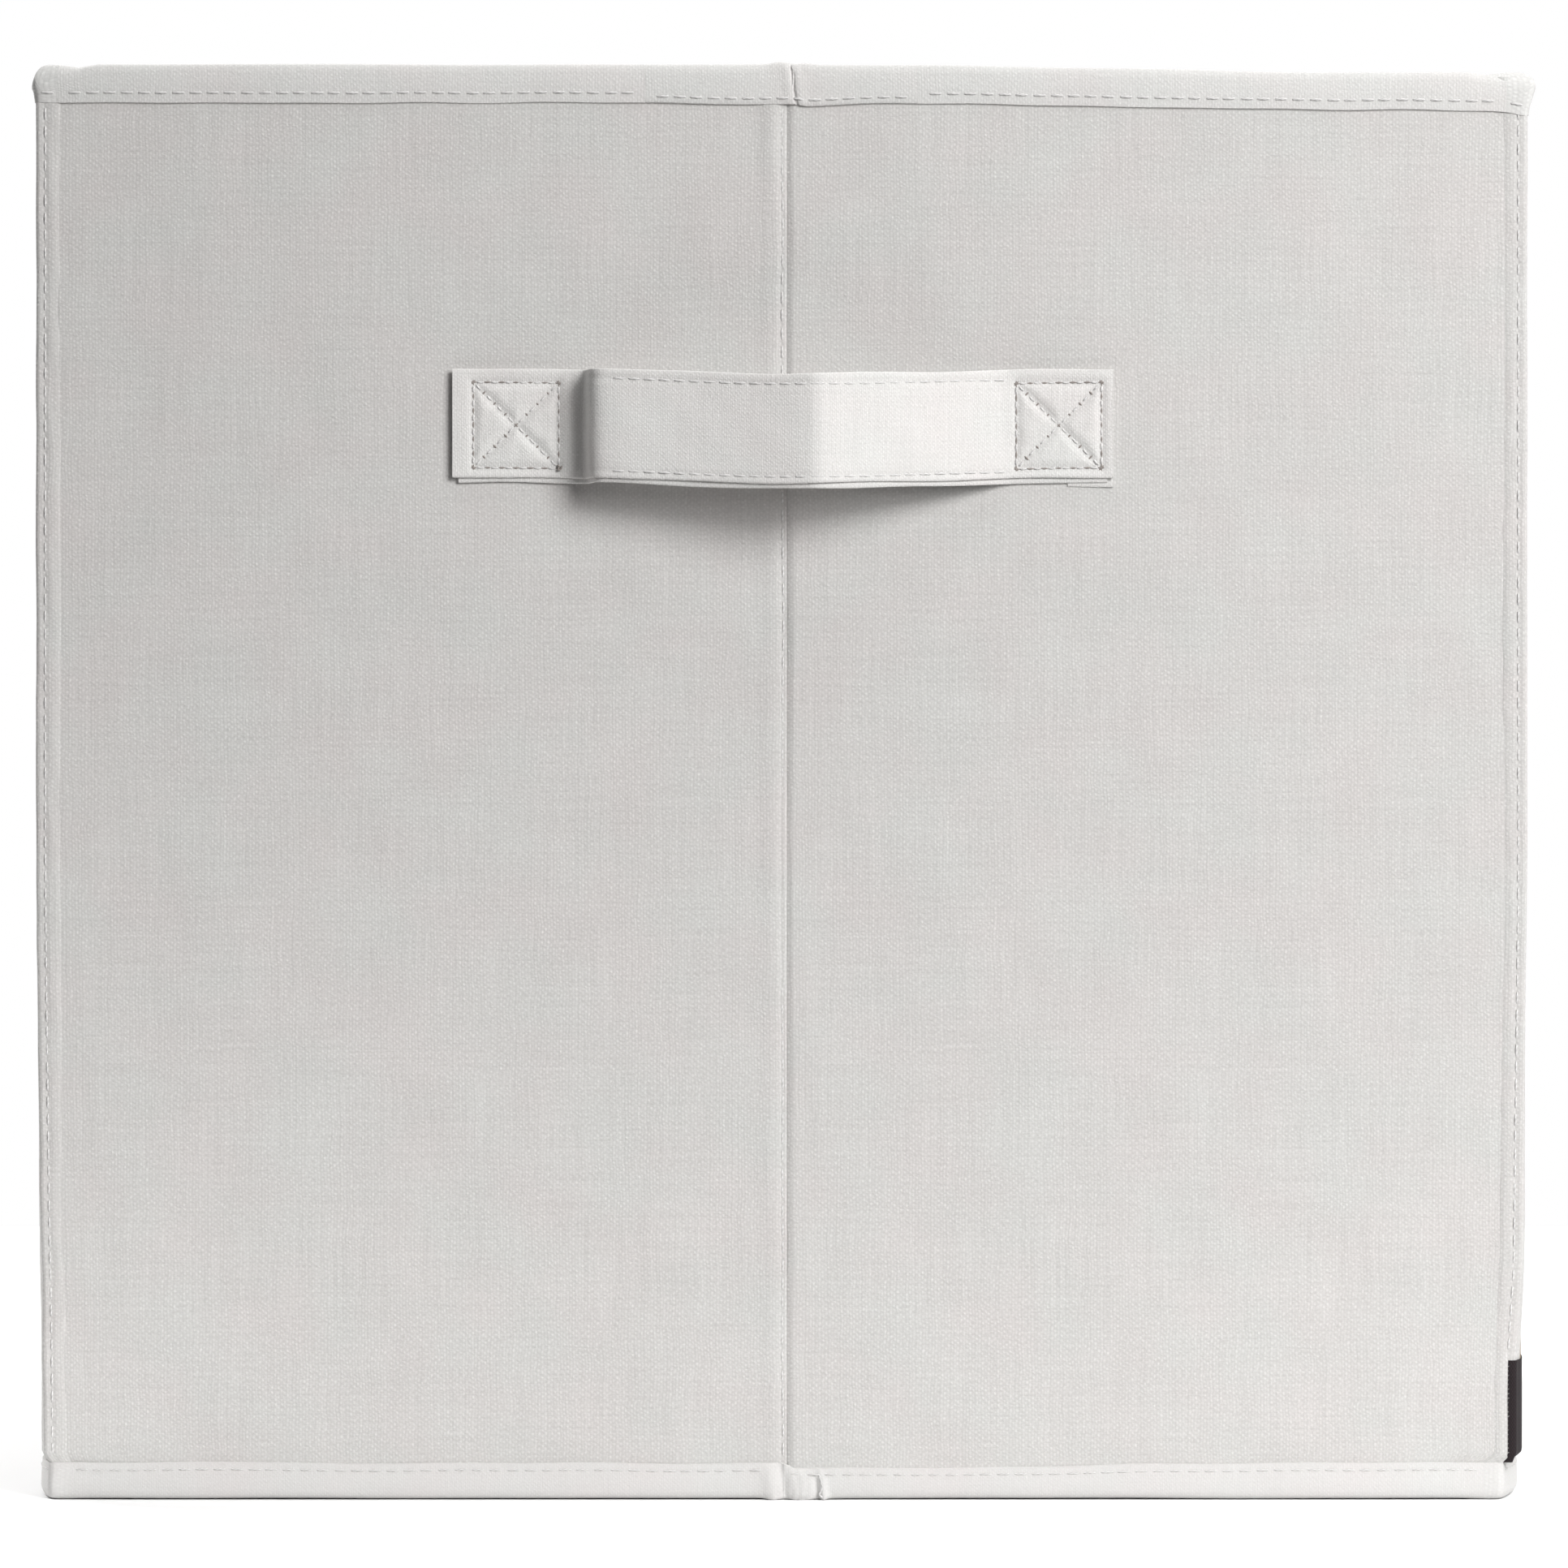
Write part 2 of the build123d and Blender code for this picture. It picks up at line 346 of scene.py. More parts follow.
class Nodes:
    """Short ways to wire a material's node tree."""

    def __init__(self, name):
        self.material = bpy.data.materials.new(name)
        self.material.use_nodes = True
        self.tree = self.material.node_tree
        self.shader = self.tree.nodes["Principled BSDF"]

    def new(self, kind, **settings):
        node = self.tree.nodes.new(kind)
        for key, value in settings.items():
            setattr(node, key, value)
        return node

    def link(self, source, target):
        self.tree.links.new(source, target)

    def math(self, operation, a, b=None, c=None):
        node = self.new("ShaderNodeMath", operation=operation)
        for socket, value in zip(node.inputs, (a, b, c)):
            if value is None:
                continue
            if isinstance(value, (int, float)):
                socket.default_value = value
            else:
                self.link(value, socket)
        return node.outputs[0]

    def noise(self, vector, scale, detail=3.0, roughness=0.5):
        node = self.new("ShaderNodeTexNoise")
        node.inputs["Scale"].default_value = scale
        node.inputs["Detail"].default_value = detail
        node.inputs["Roughness"].default_value = roughness
        self.link(vector, node.inputs["Vector"])
        return node.outputs["Fac"]

    def scaled(self, vector, x, y, z=1.0):
        node = self.new("ShaderNodeMapping")
        node.inputs["Scale"].default_value = (x, y, z)
        self.link(vector, node.inputs["Vector"])
        return node.outputs["Vector"]

    def cloth_uv(self):
        node = self.new("ShaderNodeUVMap", uv_map="cloth")
        return node.outputs["UV"]

    def ramp(self, value, stops):
        node = self.new("ShaderNodeValToRGB")
        ramp = node.color_ramp
        for k, (position, colour) in enumerate(stops):
            stop = ramp.elements[k] if k < 2 else ramp.elements.new(position)
            stop.position = position
            stop.color = (*colour, 1.0)
        self.link(value, node.inputs["Fac"])
        return node.outputs["Color"]

    def mix(self, amount, a, b, blend="MIX"):
        node = self.new("ShaderNodeMix", data_type="RGBA", blend_type=blend)
        for socket, value in ((node.inputs["Factor"], amount), (node.inputs["A"], a), (node.inputs["B"], b)):
            self.fill(socket, value)
        return node.outputs["Result"]

    def fill(self, socket, value):
        if isinstance(value, (int, float, tuple)):
            socket.default_value = value
        else:
            self.link(value, socket)

    def bump_from(self, height, distance, strength=1.0):
        node = self.new("ShaderNodeBump")
        node.inputs["Strength"].default_value = strength
        node.inputs["Distance"].default_value = distance
        self.link(height, node.inputs["Height"])
        self.link(node.outputs["Normal"], self.shader.inputs["Normal"])

    def finish(self, roughness, sheen=0.0, specular=0.3):
        self.shader.inputs["Roughness"].default_value = roughness
        self.shader.inputs["Sheen Weight"].default_value = sheen
        self.shader.inputs["Sheen Roughness"].default_value = 0.6
        self.shader.inputs["Specular IOR Level"].default_value = specular
        return self.material


def weave_height(nodes, uv, warp_pitch, weft_pitch):
    """Plain weave: warp and weft threads pass over each other in turn. Returns height, 0 to 1."""
    split = nodes.new("ShaderNodeSeparateXYZ")
    nodes.link(uv, split.inputs[0])
    across = nodes.math("SINE", nodes.math("MULTIPLY", split.outputs["X"], math.pi / warp_pitch))
    up = nodes.math("SINE", nodes.math("MULTIPLY", split.outputs["Y"], math.pi / weft_pitch))
    parity = nodes.math("MULTIPLY_ADD", nodes.math("MULTIPLY", across, up), 0.5, 0.5)
    warp = nodes.math("ABSOLUTE", across)
    return nodes.math("MULTIPLY_ADD", parity, 0.58, nodes.math("MULTIPLY", warp, 0.42))


def woven(name, colour, shade, warp_pitch, weft_pitch, relief, contrast=1.0):
    """Plain-weave cloth: uneven threads, slubs both ways, fine fuzz and a faint cloudiness, with painted shade in the
    weave's hollows.
    """
    nodes = Nodes(name)
    uv = nodes.cloth_uv()
    wander = nodes.noise(nodes.scaled(uv, 70, 110), 1.0, 3.0, 0.6)
    nudge = nodes.math("MULTIPLY", nodes.math("SUBTRACT", wander, 0.5), 2.2 * warp_pitch)
    shift = nodes.new("ShaderNodeVectorMath", operation="ADD")
    nodes.link(uv, shift.inputs[0])
    nodes.link(nudge, shift.inputs[1])
    threads = shift.outputs[0]
    height = weave_height(nodes, threads, warp_pitch, weft_pitch)
    crossing = nodes.noise(nodes.scaled(threads, 0.75 / warp_pitch, 0.75 / weft_pitch), 1.0, 1.0)
    weft_slub = nodes.noise(nodes.scaled(threads, 40, 1.0 / weft_pitch), 1.0, 1.0)
    warp_slub = nodes.noise(nodes.scaled(threads, 1.1 / warp_pitch, 32), 1.0, 1.0)
    fuzz = nodes.noise(nodes.scaled(uv, 2300, 2900), 1.0, 2.0, 0.7)
    cloudy = nodes.noise(nodes.scaled(uv, 60, 60), 1.0, 3.0, 0.6)

    bright = nodes.math("MULTIPLY_ADD", crossing, 1.5, -0.25)
    height = nodes.math("MULTIPLY", height, bright)
    slub = nodes.math("MULTIPLY_ADD", weft_slub, 0.55, nodes.math("MULTIPLY", warp_slub, 0.55))
    # The weave height paints the hollows between threads darker and the crowns lighter (painted shade and light);
    # slubs, fuzz and cloudiness are the cloth's own tone.
    tone = nodes.math("MULTIPLY_ADD", height, 0.74, nodes.math("MULTIPLY", slub, 0.55))
    tone = nodes.math("MULTIPLY_ADD", fuzz, 0.52, tone)
    tone = nodes.math("MULTIPLY_ADD", cloudy, 0.26, tone)
    centred = nodes.math("MULTIPLY_ADD", nodes.math("SUBTRACT", tone, 0.91), 0.95 * contrast, 0.5)
    base = nodes.ramp(centred, ((0.0, shade), (1.0, colour)))
    hue = nodes.noise(nodes.scaled(uv, 45, 45), 1.0, 2.0)
    cool = tuple(c * f for c, f in zip((1.0, 1.0, 1.0), (0.985, 1.0, 0.99)))
    warm = tuple(c * f for c, f in zip((1.0, 1.0, 1.0), (1.0, 0.985, 0.98)))
    tint = nodes.ramp(hue, ((0.35, cool), (0.65, warm)))
    nodes.link(nodes.mix(1.0, base, tint, "MULTIPLY"), nodes.shader.inputs["Base Color"])
    relief_height = nodes.math("MULTIPLY_ADD", slub, 0.5, height)
    relief_height = nodes.math("MULTIPLY_ADD", fuzz, 0.5, relief_height)
    nodes.bump_from(relief_height, relief)
    return nodes.finish(0.92, sheen=0.12, specular=0.2)


def thread_material():
    """Twisted sewing thread, a little shinier than the cloth."""
    nodes = Nodes("sewing_thread")
    uv = nodes.cloth_uv()
    wave = nodes.new("ShaderNodeTexWave", wave_type="BANDS", bands_direction="DIAGONAL")
    wave.inputs["Scale"].default_value = 1.0
    wave.inputs["Distortion"].default_value = 0.6
    nodes.link(nodes.scaled(uv, 520, 520), wave.inputs["Vector"])
    # Darker and lighter diagonal bands along the twist: painted shade and light on the thread's grooves and ridges.
    colour = nodes.ramp(wave.outputs["Fac"], ((0.0, (0.50, 0.49, 0.482)), (1.0, (0.68, 0.67, 0.662))))
    nodes.link(colour, nodes.shader.inputs["Base Color"])
    nodes.bump_from(wave.outputs["Fac"], 0.05 * MM)
    return nodes.finish(0.62, sheen=0.15, specular=0.4)


def hole_shade_and_knot_material():
    """Painted shade for the hollow a needle leaves at the end of a stitch; the same dark brown-grey is the own colour
    of the thread knot.
    """
    nodes = Nodes("needle_hole_shade_and_knot")
    uv = nodes.cloth_uv()
    grain = nodes.noise(nodes.scaled(uv, 4000, 4000), 1.0)
    # Dark brown-grey: painted shade where the needle went in, and the knot's own thread colour.
    colour = nodes.ramp(grain, ((0.3, (0.20, 0.18, 0.165)), (0.7, (0.34, 0.31, 0.29))))
    nodes.link(colour, nodes.shader.inputs["Base Color"])
    nodes.bump_from(grain, 0.05 * MM)
    return nodes.finish(1.0, specular=0.0)


def non_woven(name, colour, shade):
    """Spun-bonded cloth: fine random fibres, pressed together at small staggered dots."""
    nodes = Nodes(name)
    uv = nodes.cloth_uv()
    split = nodes.new("ShaderNodeSeparateXYZ")
    nodes.link(uv, split.inputs[0])
    diagonal = nodes.math("ADD", split.outputs["X"], split.outputs["Y"])
    counter = nodes.math("SUBTRACT", split.outputs["X"], split.outputs["Y"])
    one = nodes.math("SINE", nodes.math("MULTIPLY", diagonal, math.pi / (0.8 * MM)))
    two = nodes.math("SINE", nodes.math("MULTIPLY", counter, math.pi / (0.8 * MM)))
    dots = nodes.math("POWER", nodes.math("ABSOLUTE", nodes.math("MULTIPLY", one, two)), 3.0)
    fibres = nodes.noise(nodes.scaled(uv, 1600, 900), 1.0, 4.0, 0.75)
    cloudy = nodes.noise(nodes.scaled(uv, 140, 140), 1.0, 3.0, 0.6)
    tone = nodes.math("MULTIPLY_ADD", fibres, 0.5, nodes.math("MULTIPLY", cloudy, 0.5))
    tone = nodes.math("MULTIPLY_ADD", dots, -0.25, tone)
    colour_out = nodes.ramp(tone, ((0.15, shade), (0.65, colour)))
    nodes.link(colour_out, nodes.shader.inputs["Base Color"])
    height = nodes.math("MULTIPLY_ADD", dots, -1.0, nodes.math("MULTIPLY", fibres, 0.8))
    nodes.bump_from(height, 0.08 * MM)
    return nodes.finish(0.85, sheen=0.05, specular=0.3)


def label_material():
    """A ribbed black woven label with nothing on it."""
    nodes = Nodes("black_label")
    uv = nodes.cloth_uv()
    height = weave_height(nodes, uv, 0.30 * MM, 0.46 * MM)
    fuzz = nodes.noise(nodes.scaled(uv, 2400, 2400), 1.0, 3.0, 0.7)
    # The weave height paints the ribs lighter and their hollows darker: painted light and shade on the label's own
    # black.
    tone = nodes.math("MULTIPLY_ADD", fuzz, 0.5, nodes.math("MULTIPLY", height, 0.5))
    colour = nodes.ramp(tone, ((0.2, (0.006, 0.004, 0.005)), (0.8, (0.028, 0.020, 0.022))))
    nodes.link(colour, nodes.shader.inputs["Base Color"])
    nodes.bump_from(height, 0.10 * MM)
    return nodes.finish(0.8, sheen=0.02, specular=0.2)


def chipboard_material():
    """Pressed grey-brown board with flecks of fibre."""
    nodes = Nodes("pressed_chipboard")
    place = nodes.new("ShaderNodeTexCoord").outputs["Object"]
    flecks = nodes.noise(nodes.scaled(place, 420, 420, 700), 1.0, 4.0, 0.7)
    cloudy = nodes.noise(nodes.scaled(place, 40, 40, 40), 1.0, 3.0, 0.5)
    tone = nodes.math("MULTIPLY_ADD", flecks, 0.7, nodes.math("MULTIPLY", cloudy, 0.3))
    colour = nodes.ramp(tone, ((0.25, (0.16, 0.125, 0.09)), (0.75, (0.34, 0.285, 0.22))))
    nodes.link(colour, nodes.shader.inputs["Base Color"])
    nodes.bump_from(flecks, 0.12 * MM)
    return nodes.finish(0.95, specular=0.15)


def floor_material():
    """A plain pale studio floor."""
    nodes = Nodes("pale_floor")
    place = nodes.new("ShaderNodeTexCoord").outputs["Object"]
    soft = nodes.noise(nodes.scaled(place, 2, 2, 2), 1.0, 1.0)
    colour = nodes.ramp(soft, ((0.0, (0.87, 0.87, 0.87)), (1.0, (0.885, 0.885, 0.885))))
    nodes.link(colour, nodes.shader.inputs["Base Color"])
    return nodes.finish(0.9, specular=0.0)


OUTER = woven("outer_cloth", (0.636, 0.622, 0.612), (0.403, 0.391, 0.383), 0.69 * MM, 0.544 * MM, 0.095 * MM)
TAPE = woven("binding_tape", (0.675, 0.665, 0.655), (0.475, 0.466, 0.458), 0.62 * MM, 0.54 * MM, 0.08 * MM, 1.0)
FOOT = woven("foot_binding", (0.65, 0.635, 0.628), (0.50, 0.487, 0.481), 0.50 * MM, 0.46 * MM, 0.06 * MM, 0.7)
STRAP = woven("handle_cloth", (0.73, 0.716, 0.706), (0.50, 0.487, 0.478), 0.50 * MM, 0.46 * MM, 0.10 * MM, 1.05)
BASE = woven("base_cloth", (0.50, 0.494, 0.485), (0.34, 0.334, 0.327), 0.60 * MM, 0.56 * MM, 0.09 * MM, 0.8)
LINING = non_woven("lining_cloth", (0.80, 0.80, 0.795), (0.62, 0.62, 0.615))
THREAD = thread_material()
HOLE_SHADE_AND_KNOT = hole_shade_and_knot_material()
LABEL = label_material()
CHIPBOARD = chipboard_material()


def settle(piece, slot, body, *nodes):
    """Puts a finished piece on its body, in place of the CAD nodes that it stands for."""
    if nodes:
        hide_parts(*nodes)
    if body:
        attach(piece, body)
    return piece


# ---------------------------------------------------------------- wall cloth


def panel_surface(wall, s, z, seed):
    """How far in the outer cloth lies: nearly flat, with soft waves and a dip at the sewn edges."""
    soft = 0.10 * MM * waves(s, z, seed, 90 * MM) + 0.035 * MM * waves(s, z, seed + 1, 22 * MM)
    pulled = 0.10 * MM * (bump(z, foot_top, 5 * MM) + bump(z, rim_low, 5 * MM))
    return soft + pulled


def panel_heights():
    """Stations up a panel, closer together at the foot."""
    return np.concatenate([spaced(skin_low, 18 * MM, 1.2 * MM), spaced(18 * MM, rim_low + 3.2 * MM, 3.0 * MM)[1:]])


def seam_rows(start, end, fine_start, fine_end):
    """Stations along s, closer together at the sewn ends."""
    parts = [spaced(start, start + fine_start, 0.35 * MM)] if fine_start else [np.array([start])]
    parts.append(spaced(start + fine_start, end - fine_end, 2.6 * MM)[1:])
    if fine_end:
        parts.append(spaced(end - fine_end, end, 0.28 * MM)[1:])
    return np.concatenate(parts)


def ridge(x, z, seed):
    """The left cloth's edge at the centre seam: a soft roll, then the stitched valley."""
    x = x - seam_wander(z, seed)
    flatter = 0.45 + 0.55 * ease(z, rim_low - 26 * MM, rim_low)
    rise = -0.40 * MM * flatter * bump(x, -2.2 * MM, 2.2 * MM)
    valley = 0.20 * MM * bump(x, 0.15 * MM, 0.7 * MM)
    return rise + valley + 0.40 * MM * ease(x, 0.6 * MM, 1.4 * MM)


def seam_wander(z, seed):
    """How far the centre seam strays from a straight line."""
    return 0.14 * MM * waves(z, 0 * z, seed, 40 * MM)


def groove(x, z, seed):
    """The right cloth's edge at the centre seam: it dips into the groove beside the stitches."""
    x = x - seam_wander(z, seed)
    return 0.45 * MM * (1 - ease(x, 1.0 * MM, 2.7 * MM)) + 0.55 * MM * (1 - ease(x, 0.55 * MM, 1.25 * MM))


def half_panel(body, wall, first, seed):
    """The outer cloth of a half wall, with the centre seam's stitches on the left one."""
    if first:
        start, end = hinge_in + 0.3 * MM, wall.middle + 1.1 * MM
        s = seam_rows(start, end, 5 * MM, 9 * MM)
    else:
        start, end = wall.middle + 0.6 * MM, wall.length - hinge_in - 0.3 * MM
        s = seam_rows(start, end, 6 * MM, 5 * MM)
    z = panel_heights()
    s_grid, z_grid = np.meshgrid(s, z)
    n = panel_surface(wall, s_grid, z_grid, seed)
    x = s_grid - wall.middle
    if first:
        n = n + ridge(x, z_grid, seed + 3)
    else:
        n = n + groove(x, z_grid, seed + 2)
    flat = 0.02 * MM
    outer = tuck(wall.at(s_grid, n + flat, z_grid))
    inner = tuck(wall.at(s_grid, np.maximum(n, 0) + flat + 0.5 * MM, z_grid))
    piece = Piece(f"{body}_outer_cloth")
    piece.band(outer, inner)
    if first:
        out = wall.direction(n=-1)

        def on_seam(z_at):
            x_at = 0.15 * MM + seam_wander(np.array(z_at), seed + 3)
            return wall.at(wall.middle + x_at, 0.30 * MM, z_at)

        piece.stitch_row(on_seam, foot_top + 1 * MM, rim_low - 0.5 * MM, out, seed, 4.0 * MM, 0.19 * MM)
    done = piece.build(OUTER, THREAD)
    settle(done, "outer_cloth", body, f"{body}_fabric")


def side_panel(body, wall, seed):
    """The outer cloth of a whole side wall."""
    start, end = 2.3 * MM, wall.length - 2.3 * MM
    s = seam_rows(start, end, 5 * MM, 5 * MM)
    z = panel_heights()
    s_grid, z_grid = np.meshgrid(s, z)
    n = panel_surface(wall, s_grid, z_grid, seed)
    n = n + 0.2 * MM * (bump(s_grid, start, 1.5 * MM) + bump(s_grid, end, 1.5 * MM))
    outer = tuck(wall.at(s_grid, n + 0.02 * MM, z_grid))
    inner = tuck(wall.at(s_grid, n + 0.52 * MM, z_grid))
    piece = Piece(f"{body}_outer_cloth")
    piece.band(outer, inner)
    done = piece.build(OUTER)
    settle(done, "outer_cloth", body, f"{body}_fabric")


def fold_pinch(wall, s, n):
    """The inside cloth behind a centre seam is drawn in to the stitches, so the folds stay thin."""
    if wall not in (FRONT, BACK):
        return n
    return n - 2.8 * MM * bump(s, wall.middle, 1.5 * MM) * ease(n, 0.5 * wall_t, wall_t)


def lining(body, wall, start, end, seed):
    """The white lining on the inside of a wall, loose between its sewn edges."""
    s = seam_rows(start, end, 4 * MM, 4 * MM)
    z = panel_heights()
    s_grid, z_grid = np.meshgrid(s, z)
    held = ease(s_grid, start, start + 12 * MM) * (1 - ease(s_grid, end - 12 * MM, end))
    held = held * ease(z_grid, skin_low, 26 * MM) * (1 - ease(z_grid, rim_low - 22 * MM, rim_low))
    loose = 0.11 * MM * (1.2 + waves(s_grid, z_grid, seed, 60 * MM)) * held
    loose = np.clip(loose, 0, 0.32 * MM)
    outer = wall.at(s_grid, fold_pinch(wall, s_grid, wall_t + loose), z_grid)
    inner = wall.at(s_grid, fold_pinch(wall, s_grid, wall_t + 0 * s_grid) - 0.45 * MM, z_grid)
    piece = Piece(f"{body}_inner_lining")
    piece.band(tuck(outer), tuck(inner))
    done = piece.build(LINING)
    settle(done, "lining_cloth", body, f"{body}_lining")


# ---------------------------------------------------------------- binding tape


def tape_section(height, stitch_up, count):
    """The tape's cross-section: (share of the way in, height above its free edge) round the fold."""
    top = height
    return smooth_path(
        [
            (0.11, 0.0), (0.045, 0.30 * MM), (0.03, stitch_up), (0.0, 0.52 * top),
            (0.0, top - 2.0 * MM), (0.10, top - 0.55 * MM), (0.34, top - 0.04 * MM), (0.5, top),
            (0.66, top - 0.04 * MM), (0.90, top - 0.55 * MM), (1.0, top - 2.0 * MM),
            (1.0, 0.52 * top), (0.97, stitch_up), (0.955, 0.30 * MM), (0.89, 0.0),
        ],
        count,
    )


def tape_rings(outside, inside, height, section, shrink):
    """Cross-sections of folded tape between an outside line and an inside line, in plan."""
    share, up = section[:, 0], section[:, 1]
    width = np.linalg.norm(inside - outside, axis=1)[:, None]
    if shrink:
        share = share[None, :] * (1 - 2 * shrink / width) + shrink / width
        up = np.where(up > 0.5 * height, up - shrink * ease(up, 0.5 * height, height), up)
    else:
        share = np.repeat(share[None, :], len(outside), axis=0)
    plan = outside[:, None] + (inside - outside)[:, None] * share[..., None]
    return plan, np.repeat(up[None, :], len(outside), axis=0)


def plan_to_world(wall, plan):
    return wall.origin + plan[..., :1] * wall.along + plan[..., 1:] * wall.inward


def tape(name, wall, outside, inside, rim, seed, shape=None, fineness=31):
    """Folded binding tape with its two rows of stitches; rim says whether it is the top one.

    outside and inside are lines of (s, n) points. shape, if given, moves the finished points.
    """
    height = (rim_top - rim_low) if rim else foot_top
    stitch_up = rim_stitch_up if rim else foot_stitch_down
    section = tape_section(height, stitch_up, fineness)
    piece = Piece(name)
    grids = []
    for shrink in (0.0, cloth_t):
        plan, up = tape_rings(outside, inside, height, section, shrink)
        world = plan_to_world(wall, plan)
        x, y = world[..., 0], world[..., 1]
        edge = 0.16 * MM * waves(x, y, 501 + rim, 34 * MM) * (1 - ease(up, 0, 0.6 * height))
        crown = 0.10 * MM * waves(x, y, 503 + rim, 46 * MM) * ease(up, 0.5 * height, height)
        if rim:
            z = rim_low + up + edge + crown - rim_drop(x, y)
            z = np.minimum(z, rim_top + 1.2 * MM)
        else:
            lift = foot_lift(x, y)
            z = foot_top - up - edge + crown * 0.5
            z = z + lift * ease(up, 0.3 * height, height)
            z = np.maximum(z, 0.02 * MM + (cloth_t if shrink else 0.0))
        grid = np.concatenate([world, z[..., None]], axis=-1)
        if shape:
            grid = shape(grid, plan[..., 0])
        grids.append(grid)
    outer, inner = grids
    piece.band(outer, inner, turned=True)
    stitch_tape(piece, wall, outer, section[:, 1], stitch_up, seed)
    return piece


def stitch_tape(piece, wall, rings, heights, stitch_up, seed):
    """A row of stitches on each leaf of the tape, a little way from its free edge."""
    half = len(heights) // 2
    radius = thread_r if stitch_up == rim_stitch_up else foot_thread_r
    rng = np.random.default_rng(seed + 5)
    for outer_leaf in (True, False):
        side = np.arange(half) if outer_leaf else np.arange(len(heights) - 1, half, -1)
        k = side[np.argmin(np.abs(heights[side] - stitch_up))]
        line = rings[:, k]
        nearby = rings[:, k + (1 if outer_leaf else -1)]
        far = np.concatenate([[0], np.cumsum(np.linalg.norm(np.diff(line, axis=0), axis=1))])
        count = int((far[-1] - 0.5 * MM) / stitch_pitch)
        if count < 1:
            continue
        first = (far[-1] - count * stitch_pitch) / 2
        for i in range(count):
            middle = first + (i + 0.5) * stitch_pitch + rng.uniform(-0.15, 0.15) * MM
            ends = [middle - stitch_long / 2, middle + stitch_long / 2]
            points = [np.array([np.interp(e, far, line[:, a]) for a in range(3)]) for e in ends]
            along = points[1] - points[0]
            if abs(along[2]) > 0.3 * stitch_long:
                continue
            up = np.array([np.interp(middle, far, (nearby - line)[:, a]) for a in range(3)])
            out = np.cross(along, up)
            out /= np.linalg.norm(out) + 1e-12
            middle_of_wall = plan_to_world(wall, np.array([wall.middle, wall_t / 2]))
            level = np.array([*middle_of_wall, points[0][2]]) - points[0]
            inward = np.append(wall.inward, 0.0)
            away = -inward if outer_leaf else inward
            near_end = abs(level @ np.append(wall.along, 0.0)) > wall.length / 2 - 1.5 * MM
            if near_end and outer_leaf:
                away = -level / np.linalg.norm(level)
            if out @ away < 0:
                out = -out
            piece.stitch(points[0], points[1], out, radius)


def foot_lift(x, y):
    """The bin stands on the bunched tape at its corners and seams: between them it clears the floor."""
    corner = bump(half_w - np.abs(x), 0, 9 * MM) * bump(half_d - np.abs(y), 0, 9 * MM)
    joins = bump(x, 5 * MM, 7 * MM) * bump(half_d - np.abs(y), 0, 6 * MM)
    return 0.25 * MM * (1 - corner) * (1 - joins)


def straight_lines(start, end, step=2.2 * MM, extra=()):
    """The tape's outside and inside lines along a straight stretch of wall."""
    s = np.unique(np.concatenate([spaced(start, end, step), *extra]))
    s = s[(s >= start) & (s <= end)]
    outside = np.stack([s, np.full_like(s, -tape_t)], axis=1)
    inside = np.stack([s, np.full_like(s, wall_t + tape_t)], axis=1)
    return outside, inside


def corner_dip(wall):
    """The slack in the rim tape beside a corner, where no board holds it up."""

    def shape(grid, s):
        left, right = bump(s, 9 * MM, 2.4 * MM), bump(s, wall.length - 9 * MM, 2.4 * MM)
        high = ease(grid[..., 2], rim_low + 3 * MM, rim_top)
        grid[..., 2] -= 0.7 * MM * (left + right) * high
        return corner_round(grid, rim_low + 2 * MM, rim_top)

    return shape


def centre_join(wall, front):
    """Where the tape's two ends meet: a narrow crooked crease, with the cloth bunched beside it."""

    def shape(grid, s):
        x, z = s - wall.middle, grid[..., 2]
        up = (z - rim_low) / (rim_top - rim_low)
        line = 3.3 * MM - 1.4 * MM * up + 0.13 * MM * np.sin(z / (0.75 * MM))
        n = (grid[..., :2] - wall.origin) @ wall.inward
        grid[..., :2] += (fold_pinch(wall, s, n) - n)[..., None] * wall.inward
        outside = ease(-n, -1.2 * MM, 0.2 * MM)
        deep = 0.50 * MM * bump(x, line, 0.21 * MM) * (1 if front else 0.4) * (1 - ease(up, 0.8, 1.0))
        puff = 0.14 * MM * (bump(x, line - 1.3 * MM, 1.0 * MM) + bump(x, line + 1.3 * MM, 1.0 * MM))
        grid[..., :2] += ((deep - puff) * outside)[..., None] * wall.inward
        lobe = 0.55 * MM * bump(x, -0.4 * MM, 2.4 * MM) + 0.28 * MM * bump(x, 5.2 * MM, 2.0 * MM)
        grid[..., 2] += lobe * ease(up, 0.5, 1.0)
        if front:
            low_side = outside * (1 - ease(up, 0.1, 0.8)) * (1 - ease(np.abs(x), 6 * MM, 28 * MM))
            grid[..., 2] -= MM * (0.6 + 0.5 * ease(x, 2 * MM, 6 * MM)) * low_side
        return grid

    return shape


